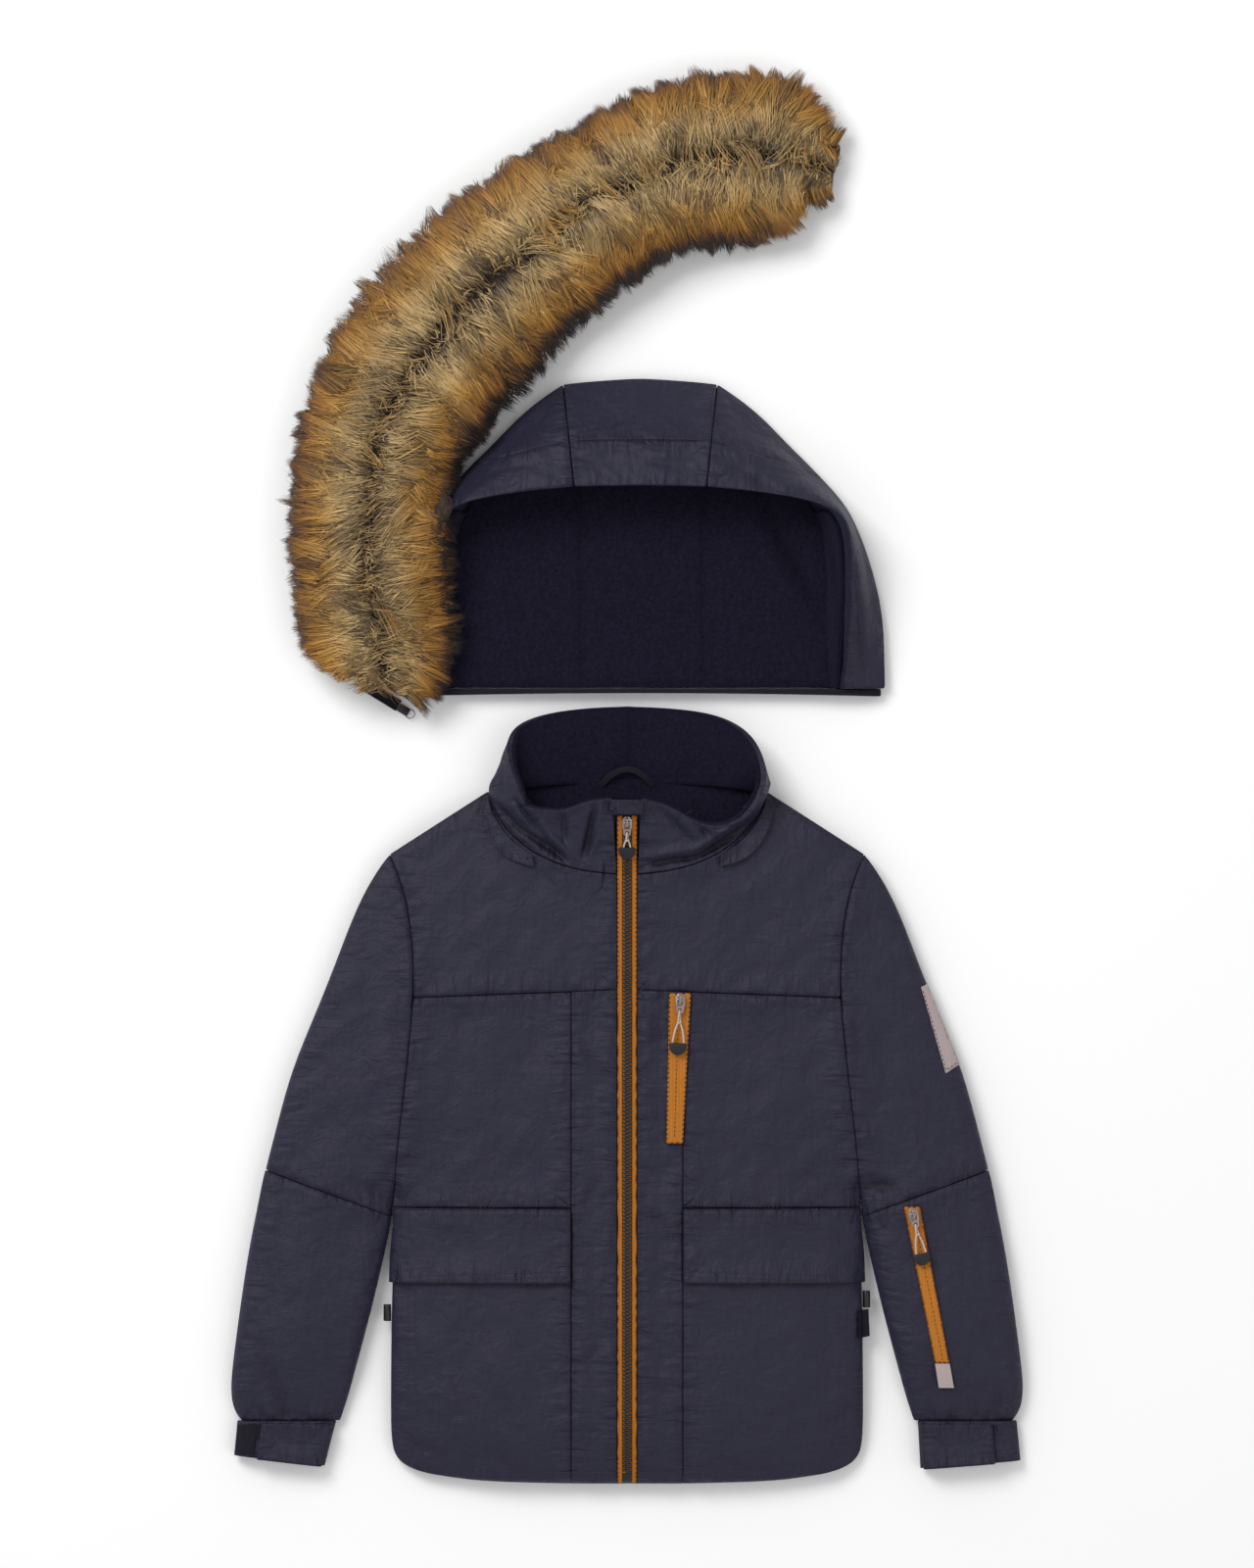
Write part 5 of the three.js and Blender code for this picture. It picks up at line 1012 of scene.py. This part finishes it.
# Acrylic hair, dyed in bands: dark at the parting, then beige and tan, golden brown further down and
# nearly black at the outer tips. The fall attribute holds the place in the fall; the lock attribute
# holds each lock's tone, with painted shade that darkens each hair towards its root.
fur_hair, hair_shader = start_finish(
    "dyed_acrylic_fur_hair", Roughness=0.55, IOR=1.5, Sheen_Weight=0.15, Sheen_Roughness=0.4)
HAIR_TONES = [(0.0, "#463a2c"), (0.05, "#7b6848"), (0.16, "#b39c70"), (0.42, "#c9aa74"), (0.66, "#bf9142"),
              (0.86, "#a97422"), (0.95, "#6b4418"), (1.0, "#241812")]
fall = add_node(fur_hair, "Attribute", settings={"attribute_name": "fall"})
hair_tone = add_node(fur_hair, "ValToRGB", links={"Fac": fall.outputs["Fac"]})
while len(hair_tone.color_ramp.elements) < len(HAIR_TONES):
    hair_tone.color_ramp.elements.new(0.5)
for element, (place, tone) in zip(hair_tone.color_ramp.elements, HAIR_TONES):
    element.position = place
    element.color = linear(tone)
# Each lock's own tone, multiplied in with painted shade towards the roots, deep between the locks.
lock = add_node(fur_hair, "Attribute", settings={"attribute_name": "lock"})
lock_tone_and_root_shade = tone_ramp(fur_hair, lock.outputs["Fac"], "#6f665f", "#fffaf0")
hair_colour = add_node(fur_hair, "MixRGB", settings={"blend_type": "MULTIPLY"}, values={"Fac": 1.0},
                       links={"Color1": hair_tone.outputs["Color"], "Color2": lock_tone_and_root_shade})
feed(fur_hair, hair_colour.outputs["Color"], hair_shader, "Base Color")

# The knitted backing, seen only in the depth between the hairs, is dark brown.
fur_backing, backing_shader = start_finish("dark_brown_knitted_backing", Roughness=0.95)
backing_place = object_place(fur_backing)
backing_knit = add_node(fur_backing, "TexNoise", values={"Scale": 300.0, "Detail": 2.0},
                        links={"Vector": backing_place})
backing_tone = tone_ramp(fur_backing, backing_knit.outputs["Fac"], "#17110f", "#4a3a2e")
feed(fur_backing, backing_tone, backing_shader, "Base Color")

backing = copy_of("fur_trim", "fur_backing")
backing_form = BVHTree.FromObject(backing, bpy.context.evaluated_depsgraph_get())
subdivide(backing, 1)
inset = read_points(backing) - BACKING_INSET * read_normals(backing)
inset[:, 2] = np.maximum(inset[:, 2], 0.0006)
backing.data.vertices.foreach_set("co", inset.ravel())
backing.data.materials.append(fur_backing)
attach(backing, "jacket")
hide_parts("fur_trim")


def surface_under(points):
    """Height of the fur's outline under each point, and a low value past its edge."""
    found = [backing_form.ray_cast(Vector((x, y, ABOVE)), DOWN)[0] for x, y in points[:, :2]]
    return np.array([TABLE_GAP if place is None else place.z for place in found])


def grow_hair(name, count, across, length, width, lift, seed, clumps=900, gather=0.7):
    """One coat of hair: count tapered ribbons rooted between the shares across, gathered in locks."""
    chance = np.random.default_rng(seed)
    total = count + clumps
    share = chance.uniform(0.0, 1.0, total)
    out = chance.uniform(*across, total) * chance.choice([-1.0, 1.0], total)
    centre, direction, half = along_fur(share)
    sideways = np.stack([direction[:, 1], -direction[:, 0]], axis=1)
    root = centre + sideways * (out * half)[:, None]
    keep = inside_trim(root)
    keep[count:] = True
    root, sideways, out, half, share = root[keep], sideways[keep], out[keep], half[keep], share[keep]
    total = len(root)
    count = total - clumps
    # The parting wanders a little, and near it the hair stands every way.
    parting = 0.09 * ripple(root, 0.1, 25)
    spread = 0.03 * np.clip((out - parting) / 0.1, -1, 1)
    loose = np.exp(-((out - parting) / 0.1) ** 2)
    crossed = chance.uniform(0, 1, total) < 0.12 * loose
    side = np.where(crossed, -1.0, 1.0) * np.sign(out - parting)
    sway = ripple(root, 0.08, 22) * 0.4 + ripple(root, 0.025, 23) * 0.22
    sway += chance.normal(0, 0.14, total) + loose * chance.normal(0, 0.26, total)
    sway[count:] += chance.normal(0, 0.42, clumps)
    outward = sideways * side[:, None]
    turned = np.stack([outward[:, 0] * np.cos(sway) - outward[:, 1] * np.sin(sway),
                       outward[:, 0] * np.sin(sway) + outward[:, 1] * np.cos(sway)], axis=1)
    out = np.abs(out)
    reach = chance.uniform(*length, total)
    room = (1.03 - out) * half + chance.uniform(-0.004, 0.006, total)
    room += 0.006 * np.clip(ripple(root, 0.011, 29), 0, 1.2)
    room[count:] += chance.uniform(0.0, 0.009, clumps)
    reach = np.minimum(reach, np.maximum(0.007, room))
    # Locks: hairs draw together towards the tip of the nearest lock on their side of the parting.
    locks = KDTree(clumps)
    for index in range(clumps):
        locks.insert((*root[count + index], spread[count + index]), index)
    locks.balance()
    nearest = [locks.find((*place, apart))[1] for place, apart in zip(root, spread[:count])]
    lock_of = count + np.array(nearest)
    lock_tip = root[lock_of] + turned[lock_of] * reach[lock_of][:, None]
    root, turned, reach, out, half = root[:count], turned[:count], reach[:count], out[:count], half[:count]
    steps = np.array([0.0, 0.35, 0.7, 1.0])
    line = root[:, None, :] + turned[:, None, :] * (reach[:, None] * steps)[:, :, None]
    draw = gather * chance.uniform(0.5, 1.0, count)[:, None] * steps ** 1.6
    line += (lock_tip[:, None, :] - line[:, 3:, :]) * draw[:, :, None]
    tip_run = line[:, 3] - line[:, 0]
    along = tip_run / np.maximum(np.linalg.norm(tip_run, axis=1), 1e-6)[:, None]
    crosswise = np.stack([-along[:, 1], along[:, 0]], axis=1)
    bend = ripple(root, 0.012, seed + 3)[:, None] * reach[:, None] * 0.1 * steps * (1.6 - steps)
    line += crosswise[:, None, :] * bend[:, :, None]
    line = held_at_end(line, chance.uniform(-0.012, 0.001, count))
    height = surface_under(line.reshape(-1, 2)).reshape(count, 4)
    # At the outer edge the hair stands out from the backing rather than dropping to the table.
    height = np.maximum(height, height[:, :1] * np.array([1.0, 0.9, 0.72, 0.55]))
    swell = 0.0025 * ripple(root, 0.03, seed + 6)[:, None] * np.array([0.0, 1.0, 1.0, 0.6])
    stand = chance.uniform(*lift, count)[:, None] * np.array([-1.0, 0.6, 1.0, 0.55])
    height = np.maximum(height + stand + swell, 0.0008)
    roll = chance.normal(0, 0.4, count)
    flat = np.concatenate([crosswise * np.cos(roll)[:, None], np.sin(roll)[:, None]], axis=1)
    girth = width * chance.uniform(0.6, 1.3, count)[:, None] * np.array([0.9, 1.0, 0.65])
    spine = np.concatenate([line, height[:, :, None]], axis=2)
    low = spine[:, :3] - flat[:, None, :] * girth[:, :, None] / 2
    high = spine[:, :3] + flat[:, None, :] * girth[:, :, None] / 2
    points = np.concatenate([low, high, spine[:, 3:]], axis=1)
    first = np.arange(count)[:, None] * 7
    quads = np.concatenate([first + [0, 1, 4, 3], first + [1, 2, 5, 4]])
    tips = first + [2, 6, 5]
    mesh = bpy.data.meshes.new(name)
    mesh.from_pydata(points.reshape(-1, 3).tolist(), [], quads.tolist() + tips.tolist())
    place = out[:, None] + (reach / half)[:, None] * steps
    place = place / 1.06 + chance.normal(0, 0.035, count)[:, None] + 0.05 * ripple(root, 0.03, 28)[:, None]
    # The hair on the hollow side of the bend lies deeper in its golden band, and its end is paler.
    bend_side = (side[:count] > 0) * np.sin(math.pi * np.clip(share[:count] / 0.86, 0, 1)) ** 0.7
    place = place + (0.14 * bend_side - 0.12 * (share[:count] > 0.84))[:, None] * steps
    place = np.concatenate([place[:, :3], place[:, :3], place[:, 3:]], axis=1)
    mesh.attributes.new("fall", "FLOAT", "POINT").data.foreach_set("value", place.ravel())
    shade = 0.62 + 0.2 * ripple(root, 0.03, seed + 5) + chance.normal(0, 0.2, count)
    shade = shade + chance.normal(0, 0.22, total)[lock_of]
    # Painted shade: each hair is darker towards its root, deep between the locks.
    shade = np.clip(shade[:, None] + np.array([-0.45, -0.1, 0.05, -0.45, -0.1, 0.05, 0.1]), 0, 1)
    mesh.attributes.new("lock", "FLOAT", "POINT").data.foreach_set("value", shade.ravel())
    mesh.materials.append(fur_hair)
    coat = new_object(name, mesh)
    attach(coat, "jacket")
    return coat


def past_end(points):
    """How far points lie inside the trimmed lower end, where the trim's own zip is, and which way."""
    start, end = (np.array(p) / 1000 for p in TRIMMED_END_MM[:2])
    run = (end - start) / np.linalg.norm(end - start)
    inward = np.array([-run[1], run[0]])
    return (points - start) @ inward, inward


def held_at_end(line, spare):
    """Keeps hair from hanging more than about 9 mm past the trimmed end, over its zip."""
    past, inward = past_end(line)
    short = np.maximum(TRIMMED_END_MM[2] / 1000 + spare[:, None] - 0.002 - past, 0)
    return line + short[:, :, None] * inward


def inside_trim(root):
    """True where a root lies on the trim: not past its trimmed lower end, and over the backing."""
    past = past_end(root)[0]
    return (past > TRIMMED_END_MM[2] / 1000 + 0.002) & (surface_under(root) > 1.1 * TABLE_GAP)


COATS = {
    "fur_underwool": dict(count=22000, across=(0.0, 0.95), length=(0.012, 0.022), width=0.0009,
                          lift=(0.0, 0.003), seed=21, clumps=1200, gather=0.5),
    "fur_guard_hair_inner": dict(count=30000, across=(0.0, 0.62), length=(0.034, 0.058), width=0.0006,
                                 lift=(0.001, 0.007), seed=31, clumps=420, gather=0.85),
    "fur_guard_hair_outer": dict(count=30000, across=(0.35, 0.95), length=(0.026, 0.05), width=0.0006,
                                 lift=(0.001, 0.008), seed=41, clumps=480, gather=0.9),
}
for name, coat in COATS.items():
    grow_hair(name, **coat)
